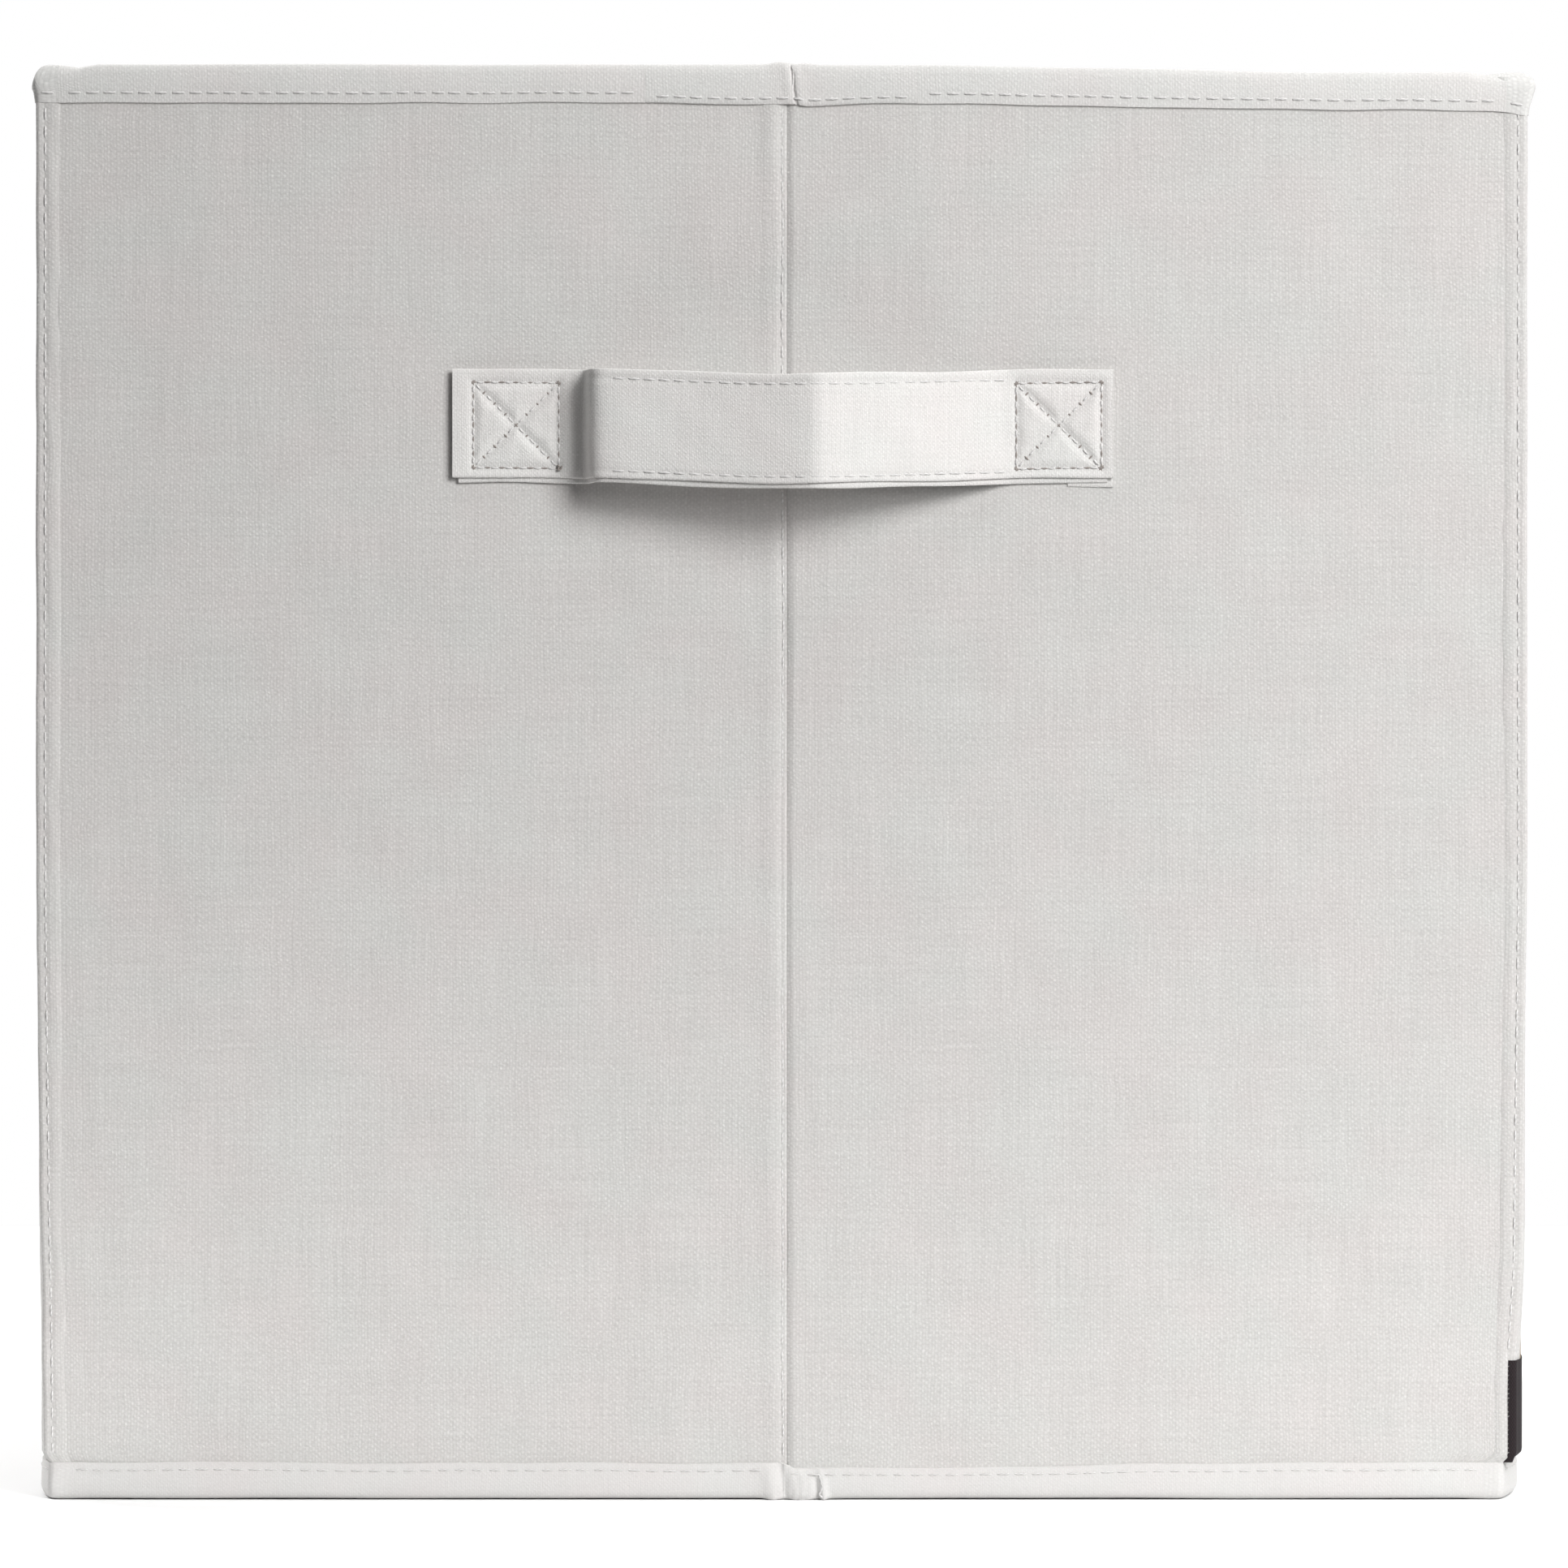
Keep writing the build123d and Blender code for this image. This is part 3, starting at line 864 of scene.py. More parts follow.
def wrapped_lines(wall):
    """A side wall's tape lines, turned round the corner at both ends."""
    flat = np.array([[-tape_t, tape_wrap], [-tape_t, 3.4 * MM], [-tape_t, 2.2 * MM]])
    outside_start = np.vstack([flat, arc_points(1.9 * MM)])
    inside_end = wall_t + tape_t
    slide = np.linspace(0, 1, len(outside_start))[:, None]
    inside_start = (1 - slide) * np.array([inside_end, tape_wrap]) + slide * inside_end
    begin = outside_start[-1, 0] + 1 * MM
    middle_out, middle_in = straight_lines(begin, wall.length - begin)
    share = np.linspace(0, 1, len(middle_in))
    middle_in[:, 0] = inside_end + 0.15 * MM + share * (wall.length - 2 * inside_end - 0.3 * MM)

    def mirrored(points):
        other = points[::-1].copy()
        other[:, 0] = wall.length - other[:, 0]
        return other

    outside = np.vstack([outside_start, middle_out, mirrored(outside_start)])
    inside = np.vstack([inside_start, middle_in, mirrored(inside_start)])
    return outside, inside


def arc_points(r):
    """The tape's outside line round a corner, from the neighbouring face to the wall's own."""
    turn = np.linspace(0, math.pi / 2, 7)
    s = -tape_t + r * (1 - np.cos(turn))
    n = -tape_t + r * (1 - np.sin(turn))
    return np.stack([s, n], axis=1)


def side_tapes(body, wall, seed):
    """The rim and foot tape of a side wall, which turn both corners."""
    outside, inside = wrapped_lines(wall)

    def rim_shape(grid, s):
        return corner_round(grid, rim_low + 2 * MM, rim_top)

    def foot_shape(grid, s):
        return tuck(grid)

    rim = tape(f"{body}_rim_binding", wall, outside, inside, True, seed, rim_shape).build(TAPE, THREAD)
    settle(rim, "binding_tape", body, f"{body}_rim_tape")
    foot = tape(f"{body}_foot_binding", wall, outside, inside, False, seed + 9, foot_shape, 51).build(FOOT, THREAD)
    settle(foot, "binding_tape", body, f"{body}_foot_tape")
    if body != "left_side":
        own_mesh(foot)


def half_tapes(body, wall, first, seed):
    """The rim and foot tape of a half wall; the rim's last stretch belongs to the centre piece."""
    near = tape_wrap + 0.01 * MM
    if first:
        rim_span = (near, wall.middle - centre_piece)
        foot_span = (near, wall.middle + 0.3 * MM)
    else:
        rim_span = (wall.middle + centre_piece, wall.length - near)
        foot_span = (wall.middle + 0.35 * MM, wall.length - near)
    rim_lines = straight_lines(*rim_span)
    rim = tape(f"{body}_rim_binding", wall, *rim_lines, True, seed, corner_dip(wall)).build(TAPE, THREAD)
    settle(rim, "binding_tape", body, f"{body}_rim_tape")
    foot_lines = straight_lines(*foot_span, extra=[wall.middle + np.arange(-5, 12, 0.25) * MM])
    foot = tape(f"{body}_foot_binding", wall, *foot_lines, False, seed + 9, foot_join(wall, wall is FRONT), 51)
    foot = foot.build(FOOT, THREAD)
    settle(foot, "binding_tape", body, f"{body}_foot_tape")
    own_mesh(foot)


def foot_join(wall, front):
    """The lapped join in the foot tape beside the centre seam, lumpy where it is folded under."""

    def shape(grid, s):
        x, z = s - wall.middle, grid[..., 2]
        outside = ease(-(grid[..., :2] - wall.origin) @ wall.inward, -1.2 * MM, 0.2 * MM)
        lower = ease(foot_top - z, 0.5 * MM, 4.5 * MM)
        bent = x + 0.28 * (z - 4 * MM) + 0.35 * MM * np.sin(z / (1.1 * MM))
        swell = 0.42 * bump(bent, -2.4 * MM, 1.9 * MM) + 0.50 * bump(x, 4.2 * MM, 2.5 * MM)
        swell = swell + 0.55 * bump(bent, 8.9 * MM, 0.9 * MM) * lower
        pinch = 0.50 * bump(bent, 0.35 * MM, 0.8 * MM) + 0.50 * bump(bent, 7.4 * MM, 0.55 * MM) * lower
        fold = 0.50 * bump(x - 0.9 * z, -0.6 * MM, 0.75 * MM) * bump(x, 4 * MM, 2.6 * MM)
        crumple = 0.16 * waves(x, 1.3 * z, 811, 2.6 * MM) * bump(x, 3.5 * MM, 4.5 * MM)
        move = MM * (swell - pinch - fold + crumple) * outside * ease(foot_top - z, 0, 1.5 * MM)
        grid[..., :2] -= move[..., None] * wall.inward
        if front:
            past = ease(x, -0.5 * MM, 3 * MM) * (1 - ease(x, 30 * MM, 120 * MM))
            grid[..., 2] -= 1.3 * MM * past * ease(z, 3 * MM, foot_top) * outside
            z = grid[..., 2]
        hang = 0.55 * bump(x, -2.0 * MM, 1.6 * MM) + 0.5 * bump(x, 4.2 * MM, 2.4 * MM)
        hang = (hang + 0.6 * bump(x, 9.0 * MM, 0.8 * MM)) * MM * (1 - ease(z, 0.5 * MM, 5 * MM))
        grid[..., 2] = np.maximum(z - hang, 0.02 * MM)
        return tuck(grid)

    return shape


def centre_tape(name, wall, front, seed):
    """The stretch of rim tape over a centre seam."""
    close = wall.middle + np.arange(-2.0, 5.0, 0.12) * MM
    near = wall.middle + np.arange(-9.0, 10.0, 0.6) * MM
    lines = straight_lines(wall.middle - centre_piece, wall.middle + centre_piece, extra=[close, near])
    shape = centre_join(wall, front)
    piece = tape(name, wall, *lines, True, seed, shape, fineness=83).build(TAPE, THREAD)
    settle(piece, "binding_tape", None)
    across_fold(piece, wall)


def across_fold(piece, wall, reach=fold_zone):
    start = wall.at(wall.middle - reach, 0.0, 0.0)
    end = wall.at(wall.middle + reach, 0.0, 0.0)
    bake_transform(piece)


# ---------------------------------------------------------------- seams


def corner_edge(node, body, front_wall, at_start, seed):
    """The turned, topstitched edge at a corner: it covers the ends of both walls' cloth."""
    wall = front_wall
    line = smooth_path(
        np.array([
            (5.4, 0.10), (4.9, -0.06), (4.2, -0.19), (3.2, -0.26), (2.5, -0.20), (1.95, -0.10), (1.4, -0.18),
            (0.8, -0.22), (0.25, -0.06), (-0.06, 0.45), (-0.14, 1.1), (-0.12, 1.8), (-0.02, 2.4), (0.14, 2.9),
        ]) * MM,
        30,
    )
    tangent = np.gradient(line, axis=0)
    normal = np.stack([tangent[:, 1], -tangent[:, 0]], axis=1)
    normal /= np.linalg.norm(normal, axis=1)[:, None]
    if normal[5] @ np.array([0, 1]) < 0:
        normal = -normal
    z = np.concatenate([spaced(skin_low + 1.5 * MM, 20 * MM, 0.8 * MM), spaced(20 * MM, rim_low + 2.0 * MM, 2.0 * MM)[1:]])
    grids = []
    for depth in (0.0, 0.32 * MM):
        place = line + normal * depth
        p = np.repeat(place[None, :, 0], len(z), axis=0)
        q = np.repeat(place[None, :, 1], len(z), axis=0)
        z_grid = np.repeat(z[:, None], len(line), axis=1)
        puff = 0.05 * MM * waves(z_grid, 3 * p, seed, 11 * MM)
        p = p + 0.10 * MM * waves(z_grid, 0 * p, seed + 1, 40 * MM) + 0.3 * puff
        q = q + puff * ease(2.4 * MM - q, 0, 1.2 * MM)
        s = p if at_start else wall.length - p
        grids.append(tuck(wall.at(s, q, z_grid)))
    piece = Piece(node + "_cloth")
    piece.band(*grids)
    out = wall.direction(n=-1)

    def on_front(z_at):
        s_at = 1.95 * MM if at_start else wall.length - 1.95 * MM
        return tuck(wall.at(s_at, -0.10 * MM, z_at))

    lowest = label_high.z if node == "front_right_corner_edge" else foot_top
    piece.stitch_row(on_front, lowest + 1.2 * MM, rim_low - 0.6 * MM, out, seed, radius=0.21 * MM)
    done = piece.build(OUTER, THREAD)
    settle(done, "outer_cloth", body, node)


def corner_bead(name, body, wall, at_start):
    """A rounded roll of seam cloth round a corner's fold line, hidden until the bin folds."""
    parts = (
        (4.25 * MM, foot_top - 1.5 * MM, rim_low + 1.5 * MM, 0),
        (5.15 * MM, rim_low + 0.4 * MM, rim_top - 3.0 * MM, 1),
        (5.15 * MM, 1.2 * MM, foot_top - 0.3 * MM, 1),
    )
    piece = Piece(name)
    for radius, low, high, slot in parts:
        turn = np.linspace(-math.pi / 2, -0.16, 12)
        arc = np.stack([radius * np.cos(turn), radius * np.sin(turn)], axis=1)
        share = np.linspace(0, 1, 12)[:, None]
        back = (1 - share) * np.array([-0.9 * MM, -radius + 0.3 * MM]) + share * np.array([-0.9 * MM, -0.72 * MM])
        z = np.concatenate([spaced(low, low + 4.2 * MM, 0.7 * MM), spaced(low + 4.2 * MM, high, 3 * MM)[1:]])
        grids = []
        for outline in (arc, back):
            s = hinge_in + outline[:, 0]
            s = s if at_start else wall.length - s
            n = hinge_in + outline[:, 1]
            grids.append(tuck(wall.at(np.repeat(s[None], len(z), 0), np.repeat(n[None], len(z), 0), z[:, None])))
        piece.band(*grids, slot=slot)
    done = piece.build(OUTER, TAPE)
    settle(done, "outer_cloth", body)


def centre_seam(node, wall, seed):
    """Inside binding strip over a centre seam, and the joined cloth in the seam's groove."""
    z = spaced(foot_top - 2.6 * MM, rim_low + 1.2 * MM, 3.0 * MM)
    piece = Piece(node + "_cloth")
    for low_s, high_s, top_n, thick in ((-6.0, 6.0, wall_t + 0.72 * MM, 0.55 * MM), (-2.0, 2.0, 1.30 * MM, 0.45 * MM)):
        s = wall.middle + np.linspace(low_s, high_s, 31) * MM
        s_grid, z_grid = np.meshgrid(s, z)
        edge = bump(s_grid, s[0], 0.7 * MM) + bump(s_grid, s[-1], 0.7 * MM)
        facing = top_n if top_n > wall_t else top_n - thick
        deeper = -thick if top_n > wall_t else thick
        soft = 0.05 * MM * waves(s_grid, z_grid, seed, 12 * MM)
        sign = -1 if top_n > wall_t else 1
        front_n = fold_pinch(wall, s_grid, facing + 0 * s_grid)
        outer = wall.at(s_grid, front_n + sign * 0.3 * MM * edge + soft, z_grid)
        inner = wall.at(s_grid, front_n + deeper, z_grid)
        piece.band(outer, inner)
    inward = wall.direction(n=1)
    for offset in (-4.4 * MM, 4.4 * MM):

        def on_strip(z_at, at=offset):
            return wall.at(wall.middle + at, wall_t + 0.70 * MM, z_at)

        piece.stitch_row(on_strip, z[0] + 3 * MM, z[-1] - 2 * MM, inward, seed + 2)
    done = piece.build(TAPE, THREAD)
    settle(done, "outer_cloth", None, node)
    across_fold(done, wall)


# ---------------------------------------------------------------- handle

handle_mid_z = (handle_low.z + handle_high.z) / 2
box_half = 9.4 * MM
boxes_x = (-58.4 * MM, 60.9 * MM)
free_from, free_to = -40.2 * MM, 49.0 * MM


def handle_out():
    """How far the handle's wall side stands out along x: (x, out) points on a smooth line."""
    return smooth_path(
        np.array([
            (-72.4, 0.10), (-66, 0.10), (-58, 0.10), (-51, 0.12), (-47.6, 0.20), (-45, 0.45), (-43.2, 1.0),
            (-42.2, 1.9), (-41.6, 3.3), (-41.2, 5.2), (-40.9, 7.2), (-40.5, 8.9), (-39.4, 10.1), (-37, 10.8),
            (-32, 11.6), (-22, 12.9),
            (-11, 14.7), (0, 16.7), (5, 17.6), (7.4, 17.8),
            (10, 17.1), (18, 13.9), (30, 8.9), (40, 4.4), (45.5, 1.9), (48.8, 0.6), (51.5, 0.15), (58, 0.10),
            (66, 0.10), (72.9, 0.10),
        ]) * MM,
        360,
    )


def quilting(x, z):
    """The pull of the box and cross stitching: valleys on the stitch lines, puffed cloth between."""
    depth = np.zeros(np.broadcast(x, z).shape)
    dz = z - handle_mid_z
    for centre in boxes_x:
        dx = x - centre
        over_x, over_z = np.abs(dx) - box_half, np.abs(dz) - box_half
        beyond = np.hypot(np.maximum(over_x, 0), np.maximum(over_z, 0))
        side = np.where(beyond > 0, beyond, -np.maximum(over_x, over_z))
        cross = np.minimum(np.abs(dx - dz), np.abs(dx + dz)) / math.sqrt(2)
        near = np.where(beyond > 0, side, np.minimum(side, cross))
        pucker = 1 + 0.45 * waves(x, z, 77, 5 * MM)
        valley = np.exp(-((near / (0.9 * MM)) ** 2))
        puff = np.where(beyond > 0, 0.0, ease(near, 0.3 * MM, 2.4 * MM))
        depth = depth + valley - 0.45 * puff * pucker
    edge = np.minimum(np.abs(dz - 10.2 * MM), np.abs(dz + 10.0 * MM))
    free = ease(x, free_from - 2 * MM, free_from) * (1 - ease(x, free_to - 1 * MM, free_to + 1 * MM))
    return depth * 0.38 * MM + 0.16 * MM * free * np.exp(-((edge / (0.5 * MM)) ** 2))


def handle_sag(x):
    """The free part hangs a little lower than its sewn ends."""
    return -2.2 * MM * bump(x, 4 * MM, 36 * MM)


def handle_frame(path):
    tangent = np.gradient(path, axis=0)
    normal = np.stack([-tangent[:, 1], tangent[:, 0]], axis=1)
    return normal / np.linalg.norm(normal, axis=1)[:, None]


def handle_ply(piece, path, low, high, face, thick, quilt, seed):
    """One ply of the handle; face is its outer surface's distance from the handle's wall side."""
    normal = handle_frame(path)
    v = np.concatenate([
        low + np.array([0.0, 0.12, 0.32, 0.65]) * MM,
        spaced(low + 1.1 * MM, high - 1.1 * MM, 0.5 * MM),
        high - np.array([0.65, 0.32, 0.12, 0.0]) * MM,
    ])
    z_grid, _ = np.meshgrid(v, path[:, 0])
    x_grid = np.repeat(path[:, :1], len(v), axis=1)
    from_edge = np.minimum(z_grid - low, high - z_grid)
    rounding = 0.32 * MM * (1 - np.sqrt(np.clip(1 - (1 - np.clip(from_edge / (0.7 * MM), 0, 1)) ** 2, 0, 1)))
    soft = 0.06 * MM * waves(x_grid, z_grid, seed, 14 * MM)
    lower = quilting(x_grid, z_grid) if quilt else 0.15 * quilting(x_grid, z_grid)
    grids = []
    for out in (face - rounding - lower + soft, np.full_like(z_grid, face - thick) + rounding):
        x = path[:, None, 0] + normal[:, None, 0] * out
        y = -half_d - (path[:, None, 1] + normal[:, None, 1] * out)
        ragged = 0.17 * MM * waves(x_grid, 0 * x_grid, seed + 1, 26 * MM)
        z = z_grid + handle_sag(x_grid) + ragged
        grids.append(np.stack([x, y, z], axis=-1))
    piece.band(*grids, turned=True)
    return normal


def on_handle(path, x, z, face):
    """A point on the handle's face, and the direction away from the cloth there."""
    normal = handle_frame(path)
    at = np.array([np.interp(x, path[:, 0], path[:, 1]), np.interp(x, path[:, 0], normal[:, 0]),
                   np.interp(x, path[:, 0], normal[:, 1])])
    out = face - float(quilting(np.array(x), np.array(z)))
    point = np.array([x + at[1] * out, -half_d - at[0] - at[2] * out, z + float(handle_sag(np.array(x)))])
    return point, np.array([at[1], -at[2], 0.0])


def sewn_line(piece, path, start, end, count, face, hole_shades=True):
    """Stitches from start to end, both (x, z) on the handle, with dark marks of painted shade where the needle went in
    between them.
    """
    start, end = np.array(start), np.array(end)
    step = (end - start) / count
    for k in range(count):
        rest = 0.26 if hole_shades else 0.10
        a, b = start + step * (k + rest), start + step * (k + 1 - rest)
        first, out = on_handle(path, a[0], a[1], face)
        last, _ = on_handle(path, b[0], b[1], face)
        piece.stitch(first, last, out, radius=0.22 * MM, sink=0.35)
    # Short dark tubes where the needle went in: painted shade standing for the hollows.
    if hole_shades:
        for k in range(count + 1):
            place = start + step * k
            point, out = on_handle(path, place[0], place[1], face)
            across = np.cross(out, [0, 0, 1.0])
            way = across * step[0] + np.array([0, 0, 1.0]) * step[1]
            way /= np.linalg.norm(way) + 1e-12
            reach = 0.85 * MM
            piece.thread([point - way * reach - out * 0.10 * MM, point + out * 0.02 * MM,
                          point + way * reach - out * 0.10 * MM], 0.24 * MM, slot=2, sides=7)


def handle():
    """The cloth handle: two plies, boxed and crossed at the ends, stitched along both edges."""
    path = handle_out()
    piece = Piece("handle_strap")
    low, high = handle_low.z, handle_high.z
    face = 1.55 * MM
    handle_ply(piece, path, low + 0.95 * MM, high - 0.1 * MM, face, 0.75 * MM, True, 71)
    handle_ply(piece, path[3:-3], low - 0.15 * MM, high - 0.55 * MM, 0.78 * MM, 0.70 * MM, False, 75)
    under = path[(path[:, 0] > 62.5 * MM)]
    handle_ply(piece, under, low - 1.15 * MM, low + 4 * MM, 0.30 * MM, 0.36 * MM, False, 78)
    for centre in boxes_x:
        left, right = centre - box_half, centre + box_half
        bottom, top = handle_mid_z - box_half, handle_mid_z + box_half
        corners = [(left, bottom), (right, bottom), (right, top), (left, top)]
        for k in range(4):
            sewn_line(piece, path, corners[k], corners[(k + 1) % 4], 6, face)
        sewn_line(piece, path, corners[0], corners[2], 8, face)
        sewn_line(piece, path, corners[1], corners[3], 8, face)
    for z in (handle_mid_z + 10.2 * MM, handle_mid_z - 10.0 * MM):
        sewn_line(piece, path, (free_from + 3.2 * MM, z), (free_to, z), 26, face, hole_shades=False)
    done = piece.build(STRAP, THREAD, HOLE_SHADE_AND_KNOT)
    settle(done, "handle_cloth", None, "handle_left_half", "handle_right_half")
    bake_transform(done)


def loose_threads():
    """A few trimmed thread tails, as sewing leaves them."""
    tail = Piece("handle_thread_tail")
    x, z = boxes_x[0] + box_half, handle_mid_z - box_half
    y = -half_d - 1.5 * MM
    knot = [(x - 0.4 * MM, y, z + 0.5 * MM), (x + 0.1 * MM, y - 0.5 * MM, z + 0.1 * MM),
            (x - 0.2 * MM, y - 0.7 * MM, z - 0.5 * MM), (x + 0.5 * MM, y - 0.5 * MM, z - 0.4 * MM),
            (x + 0.7 * MM, y - 0.2 * MM, z + 0.4 * MM)]
    tail.thread(smooth_path(knot, 22), 0.18 * MM, slot=0)
    done = tail.build(HOLE_SHADE_AND_KNOT)
    settle(done, "handle_cloth", "front_left")
    foot = Piece("foot_thread_tail")
    x, y = 8.8 * MM, -half_d - tape_t - 0.25 * MM
    curl = [(x - 0.6 * MM, y + 0.4 * MM, 5.6 * MM), (x - 0.2 * MM, y, 4.2 * MM), (x + 0.1 * MM, y - 0.1 * MM, 2.6 * MM),
            (x - 0.5 * MM, y - 0.1 * MM, 1.3 * MM), (x + 0.3 * MM, y, 0.5 * MM)]
    foot.thread(smooth_path(curl, 22), 0.22 * MM, slot=0)
    done = foot.build(THREAD)
    settle(done, "binding_tape", "front_right")
    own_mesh(done)


# ---------------------------------------------------------------- label


def side_label():
    """A blank black label folded round the front right corner, with its edge stitches."""
    front_edge = 1.85 * MM
    line = smooth_path(label_line(front_edge), 64)
    tangent = np.gradient(line, axis=0)
    normal = np.stack([tangent[:, 1], -tangent[:, 0]], axis=1)
    normal /= np.linalg.norm(normal, axis=1)[:, None]
    if normal[20] @ np.array([0, 1]) < 0 and normal[20] @ np.array([1, 0]) < 0:
        normal = -normal
    z = spaced(label_low.z - 0.4 * MM, label_high.z - 0.4 * MM, 0.6 * MM)
    grids = []
    for depth in (0.0, 0.3 * MM):
        place = line + normal * depth
        p = np.repeat(place[None, :, 0], len(z), axis=0)
        q = np.repeat(place[None, :, 1], len(z), axis=0)
        z_grid = np.repeat(z[:, None], len(line), axis=1)
        p = p - 2.4 * MM * (1 - ease(z_grid, 7.6 * MM, 10.4 * MM)) * (1 - ease(q, -0.3 * MM, 0.6 * MM))
        grids.append(tuck(FRONT.at(FRONT.length - p, q, z_grid)))
    piece = Piece("blank_side_label")
    piece.band(*grids)
    rng = np.random.default_rng(5)
    z_at = z[0] + 1.0 * MM
    while z_at < z[-1] - 0.6 * MM:
        reach = (0.10 + rng.uniform(0, 0.2)) * MM
        inner = tuck(FRONT.at(FRONT.length - front_edge - 0.15 * MM, -0.26 * MM, z_at))
        over = tuck(FRONT.at(FRONT.length - front_edge + reach, -0.40 * MM, z_at + 0.3 * MM))
        piece.stitch(inner, over, FRONT.direction(n=-1), radius=0.05 * MM)
        z_at += 1.0 * MM
    done = piece.build(LABEL, THREAD)
    settle(done, "label_weave", "right_side", "side_label")


def label_line(front_edge):
    """The label's line in plan round the corner: (along the front, along the side)."""
    return np.array([
        (front_edge, -0.22 * MM), (front_edge - 0.4 * MM, -0.34 * MM), (1.0 * MM, -0.40 * MM),
        (0.45 * MM, -0.38 * MM), (-0.10 * MM, -0.05 * MM), (-0.30 * MM, 0.6 * MM), (-0.36 * MM, 2.0 * MM),
        (-0.40 * MM, 4.0 * MM), (-0.40 * MM, 9.0 * MM), (-0.40 * MM, 14.0 * MM), (-0.40 * MM, 19.0 * MM),
        (-0.36 * MM, 20.4 * MM),
    ])


# ---------------------------------------------------------------- bottom and insert


def bottom_cloth():
    """The cloth bottom under the insert, drawn tight between the foot tapes."""
    low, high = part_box("bottom_cloth")
    x, y = np.meshgrid(spaced(low.x, high.x, 4 * MM), spaced(low.y, high.y, 4 * MM))
    soft = 0.10 * MM * waves(x, y, 31, 55 * MM)
    outer = np.stack([x, y, np.clip(high.z - 0.12 * MM + soft, 0.5 * MM, high.z)], axis=-1)
    inner = np.stack([x, y, np.full_like(x, low.z + 0.02 * MM)], axis=-1)
    piece = Piece("bottom_panel_cloth")
    piece.band(outer, inner)
    done = piece.build(LINING)
    settle(done, "base_cloth", "left_side", "bottom_cloth")
    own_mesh(done)


def insert_cover():
    """The cloth-covered base insert: soft rounded edges, a topstitched border and faint wrinkles."""
    low, high = insert_low, insert_high

    def stations(a, b):
        ends = np.array([0.0, 0.08, 0.25, 0.55, 1.0, 1.7, 2.6]) * MM
        return np.concatenate([a + ends, spaced(a + 4.5 * MM, b - 4.5 * MM, 3.4 * MM), (b - ends)[::-1]])

    x, y = np.meshgrid(stations(low.x, high.x), stations(low.y, high.y))
    edge_x = np.minimum(x - low.x, high.x - x)
    edge_y = np.minimum(y - low.y, high.y - y)
    from_edge = np.minimum(edge_x, edge_y)
    radius = 1.35 * MM
    t = np.clip(from_edge / radius, 0, 1)
    fall = radius * (1 - np.sqrt(np.clip(1 - (1 - t) ** 2, 0, 1)))
    border = 0.22 * MM * bump(from_edge, 6.5 * MM, 1.0 * MM)
    soft = 0.10 * MM * (waves(x, y, 41, 70 * MM) - 1.0) * ease(from_edge, 2 * MM, 14 * MM)
    corner = ease(8 * MM - np.hypot(edge_x, edge_y), 0, 8 * MM) * 0.5 * MM
    x_in = x + np.sign(low.x + high.x - 2 * x) * corner
    y_in = y + np.sign(low.y + high.y - 2 * y) * corner
    top = np.stack([x_in, y_in, high.z - fall - border + soft], axis=-1)
    under = np.stack([x_in, y_in, low.z + fall * 0.98], axis=-1)
    piece = Piece("insert_cloth_cover")
    piece.band(top, under)
    inset = 6.5 * MM
    z = high.z - 0.20 * MM
    for along_x in (True, False):
        for side in (0, 1):
            fixed = (low.y + inset, high.y - inset)[side] if along_x else (low.x + inset, high.x - inset)[side]
            first, last = (low.x, high.x) if along_x else (low.y, high.y)

            def on_border(d, fixed=fixed, along_x=along_x):
                return np.array([d, fixed, z]) if along_x else np.array([fixed, d, z])

            piece.stitch_row(on_border, first + inset, last - inset, (0, 0, 1), 50 + side)
    done = piece.build(BASE, THREAD)
    settle(done, "base_cloth", "base_insert", "insert_cover")


def pull_tab():
    """The flat pull tab: a folded strip of tape, cross-stitched down at its inner end."""
    low, high = tab_low, tab_high
    middle_x = (low.x + high.x) / 2
    half = (high.x - low.x) / 2
    centre_y = low.y + half
    rows = []
    y_line = np.concatenate([
        centre_y - half * np.cos(np.linspace(0.12, math.pi / 2, 12)),
        spaced(centre_y + 1 * MM, high.y - 1.0 * MM, 1.2 * MM),
    ])
    for y in y_line:
        inside = max(0.0, half**2 - min(0.0, y - centre_y) ** 2)
        rows.append(math.sqrt(inside))
    width = np.array(rows)[:, None]
    share = np.sin(np.linspace(-math.pi / 2, math.pi / 2, 27))[None]
    x = middle_x + width * share
    y = np.repeat(y_line[:, None], x.shape[1], axis=1)
    dome = 0.16 * MM * (1 - share**2) + 0.05 * MM * waves(x, y, 61, 9 * MM)
    sewn = 0.14 * MM * bump(y, high.y - 5 * MM, 1.2 * MM)
    top = np.stack([x, y, high.z - 0.24 * MM + dome - sewn], axis=-1)
    under = np.stack([x, y, np.full_like(x, low.z + 0.03 * MM)], axis=-1)
    piece = Piece("insert_tab_cloth")
    piece.band(top, under)
    z = high.z - 0.10 * MM
    for y_row in (high.y - 5 * MM, high.y - 13 * MM):

        def across(d, y_row=y_row):
            return np.array([d, y_row, z])

        piece.stitch_row(across, low.x + 3 * MM, high.x - 3 * MM, (0, 0, 1), 63)
    done = piece.build(TAPE, THREAD)
    settle(done, "base_cloth", "base_insert", "insert_pull_tab")


# ---------------------------------------------------------------- everything


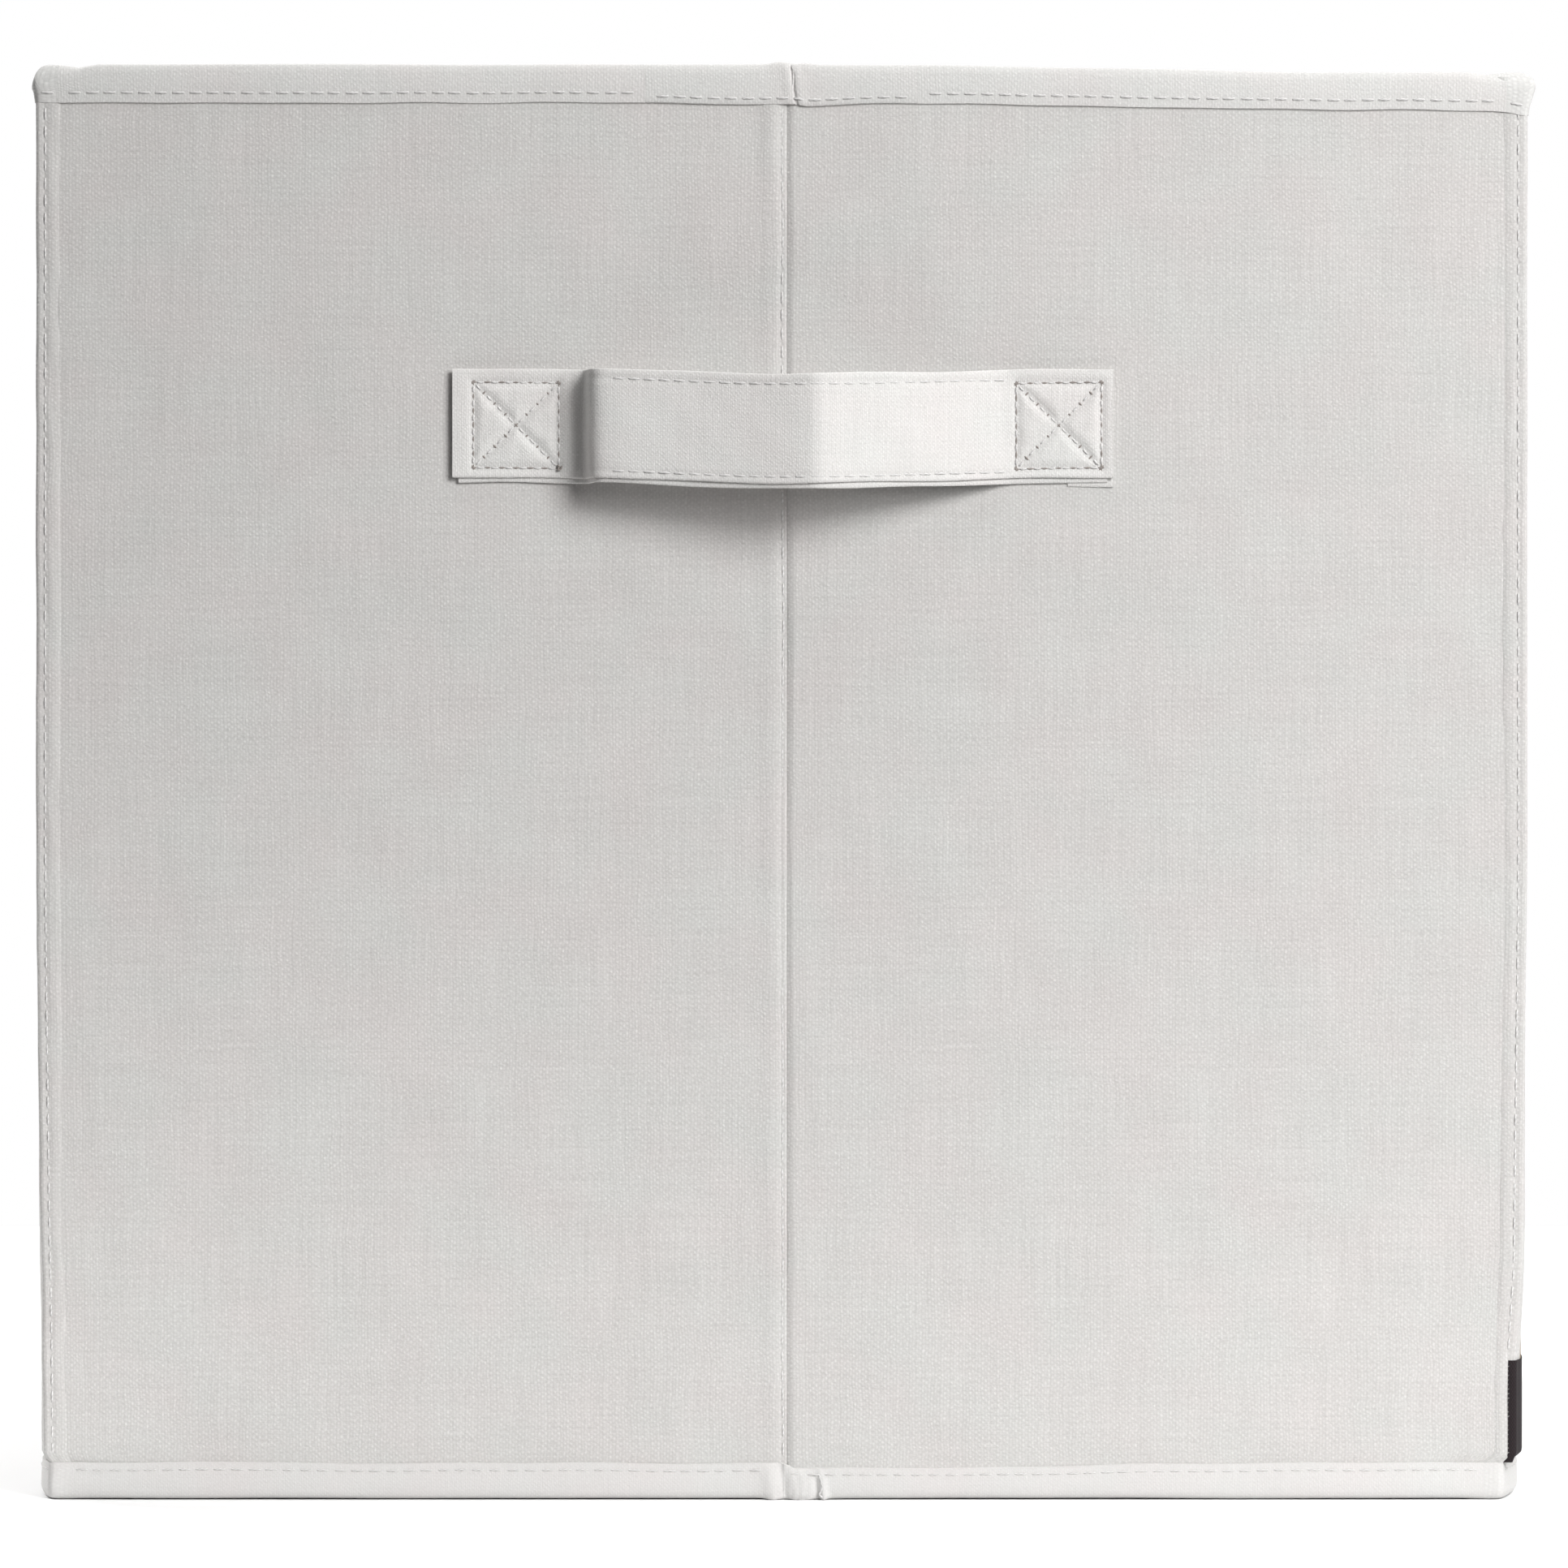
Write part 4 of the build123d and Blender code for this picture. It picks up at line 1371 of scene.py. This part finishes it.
def build_bin():
    side_panel("left_side", LEFT, 11)
    side_panel("right_side", RIGHT, 12)
    half_panel("front_left", FRONT, True, 13)
    half_panel("front_right", FRONT, False, 14)
    half_panel("back_right", BACK, True, 15)
    half_panel("back_left", BACK, False, 16)

    near_corner = hinge_in + 0.4 * MM
    for body, wall, seed in (("left_side", LEFT, 21), ("right_side", RIGHT, 22)):
        lining(body, wall, 3.0 * MM, wall.length - 3.0 * MM, seed)
        side_tapes(body, wall, seed + 60)
    for body, wall, seed in (("front_left", FRONT, 23), ("back_right", BACK, 24)):
        lining(body, wall, near_corner, wall.middle - 0.5 * MM, seed)
        half_tapes(body, wall, True, seed + 60)
    for body, wall, seed in (("front_right", FRONT, 25), ("back_left", BACK, 26)):
        lining(body, wall, wall.middle + 0.5 * MM, wall.length - near_corner, seed)
        half_tapes(body, wall, False, seed + 60)

    corners = (
        ("front_left_corner", "left_side", FRONT, True),
        ("front_right_corner", "right_side", FRONT, False),
        ("back_right_corner", "right_side", BACK, True),
        ("back_left_corner", "left_side", BACK, False),
    )
    for k, (name, body, wall, at_start) in enumerate(corners):
        corner_edge(f"{name}_edge", body, wall, at_start, 81 + k)
        corner_bead(f"{name}_bead", body, wall, at_start)

    centre_seam("front_centre_seam", FRONT, 91)
    centre_seam("back_centre_seam", BACK, 92)
    centre_tape("front_rim_join", FRONT, True, 93)
    centre_tape("back_rim_join", BACK, False, 94)

    handle()
    loose_threads()
    side_label()
    bottom_cloth()
    insert_cover()
    pull_tab()
    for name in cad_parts:
        if name.endswith("_board"):
            board = bpy.data.objects[name] if name in bpy.data.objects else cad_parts[name]
            for slot in board.material_slots:
                slot.material = CHIPBOARD


# ---------------------------------------------------------------- studio


def area_light(name, place, target, size, power, colour=(1.0, 1.0, 1.0)):
    from mathutils import Vector
    data = bpy.data.lights.new(name, "AREA")
    data.shape = "SQUARE"
    data.size = size
    data.energy = power
    data.color = colour
    light = bpy.data.objects.new(name, data)
    light.location = place
    light.rotation_euler = (Vector(target) - Vector(place)).to_track_quat("-Z", "Y").to_euler()
    light.visible_camera = False
    bpy.context.scene.collection.objects.link(light)


def sun_light(name, direction, strength, angle):
    from mathutils import Vector
    data = bpy.data.lights.new(name, "SUN")
    data.energy = strength
    data.angle = math.radians(angle)
    light = bpy.data.objects.new(name, data)
    light.rotation_euler = Vector(direction).to_track_quat("-Z", "Y").to_euler()
    bpy.context.scene.collection.objects.link(light)


def studio():
    scene = bpy.context.scene
    floor_mesh = bpy.data.meshes.new("studio_floor")
    far, near = 0.75, -half_d - 0.18
    floor_mesh.from_pydata([(-far, near, 0), (far, near, 0), (far, far, 0), (-far, far, 0)], [], [(0, 1, 2, 3)])
    floor = bpy.data.objects.new("studio_floor", floor_mesh)
    scene.collection.objects.link(floor)
    floor_mesh.materials.append(floor_material())

    world = bpy.data.worlds.new("studio")
    scene.world = world
    world.use_nodes = True
    tree = world.node_tree
    background = tree.nodes["Background"]
    background.inputs["Color"].default_value = (1.0, 1.0, 1.0, 1.0)
    background.inputs["Strength"].default_value = 1.0
    dim = tree.nodes.new("ShaderNodeBackground")
    dim.inputs["Color"].default_value = (1.0, 1.0, 1.0, 1.0)
    dim.inputs["Strength"].default_value = 0.04
    seen = tree.nodes.new("ShaderNodeLightPath")
    pick = tree.nodes.new("ShaderNodeMixShader")
    tree.links.new(seen.outputs["Is Camera Ray"], pick.inputs[0])
    tree.links.new(dim.outputs[0], pick.inputs[1])
    tree.links.new(background.outputs[0], pick.inputs[2])
    tree.links.new(pick.outputs[0], tree.nodes["World Output"].inputs[0])

    sun_light("overhead_softbox", (-0.10, 0.05, -1.0), 1.4, 50)
    middle = (0.0, -half_d, 0.15)
    area_light("key_softbox", (1.40, -2.20, 1.60), middle, 1.20, 64.0)
    area_light("near_softbox", (0.42, -0.70, 0.42), middle, 0.36, 2.95)
    area_light("back_left_softbox", (-1.40, 1.20, 1.40), (-0.2, 0.1, 0.0), 1.0, 54.0)
    area_light("back_right_softbox", (1.40, 1.20, 1.40), (0.2, 0.1, 0.0), 1.0, 12.0)

    scene.view_settings.view_transform = "Standard"
    scene.view_settings.look = "None"


def camera():
    lens, sensor = 155.0, 36.0
    frame_width = 0.345
    data = bpy.data.cameras.new("camera")
    data.lens = lens
    data.sensor_width = sensor
    data.clip_start = 0.05
    data.clip_end = 200.0
    view = bpy.data.objects.new("camera", data)
    distance = frame_width / 2 / (sensor / 2 / lens)
    view.location = (0.5 * MM, -half_d - distance, 157.5 * MM)
    view.rotation_euler = (math.pi / 2, 0, 0)
    bpy.context.scene.collection.objects.link(view)
    bpy.context.scene.camera = view


camera()
build_bin()
studio()
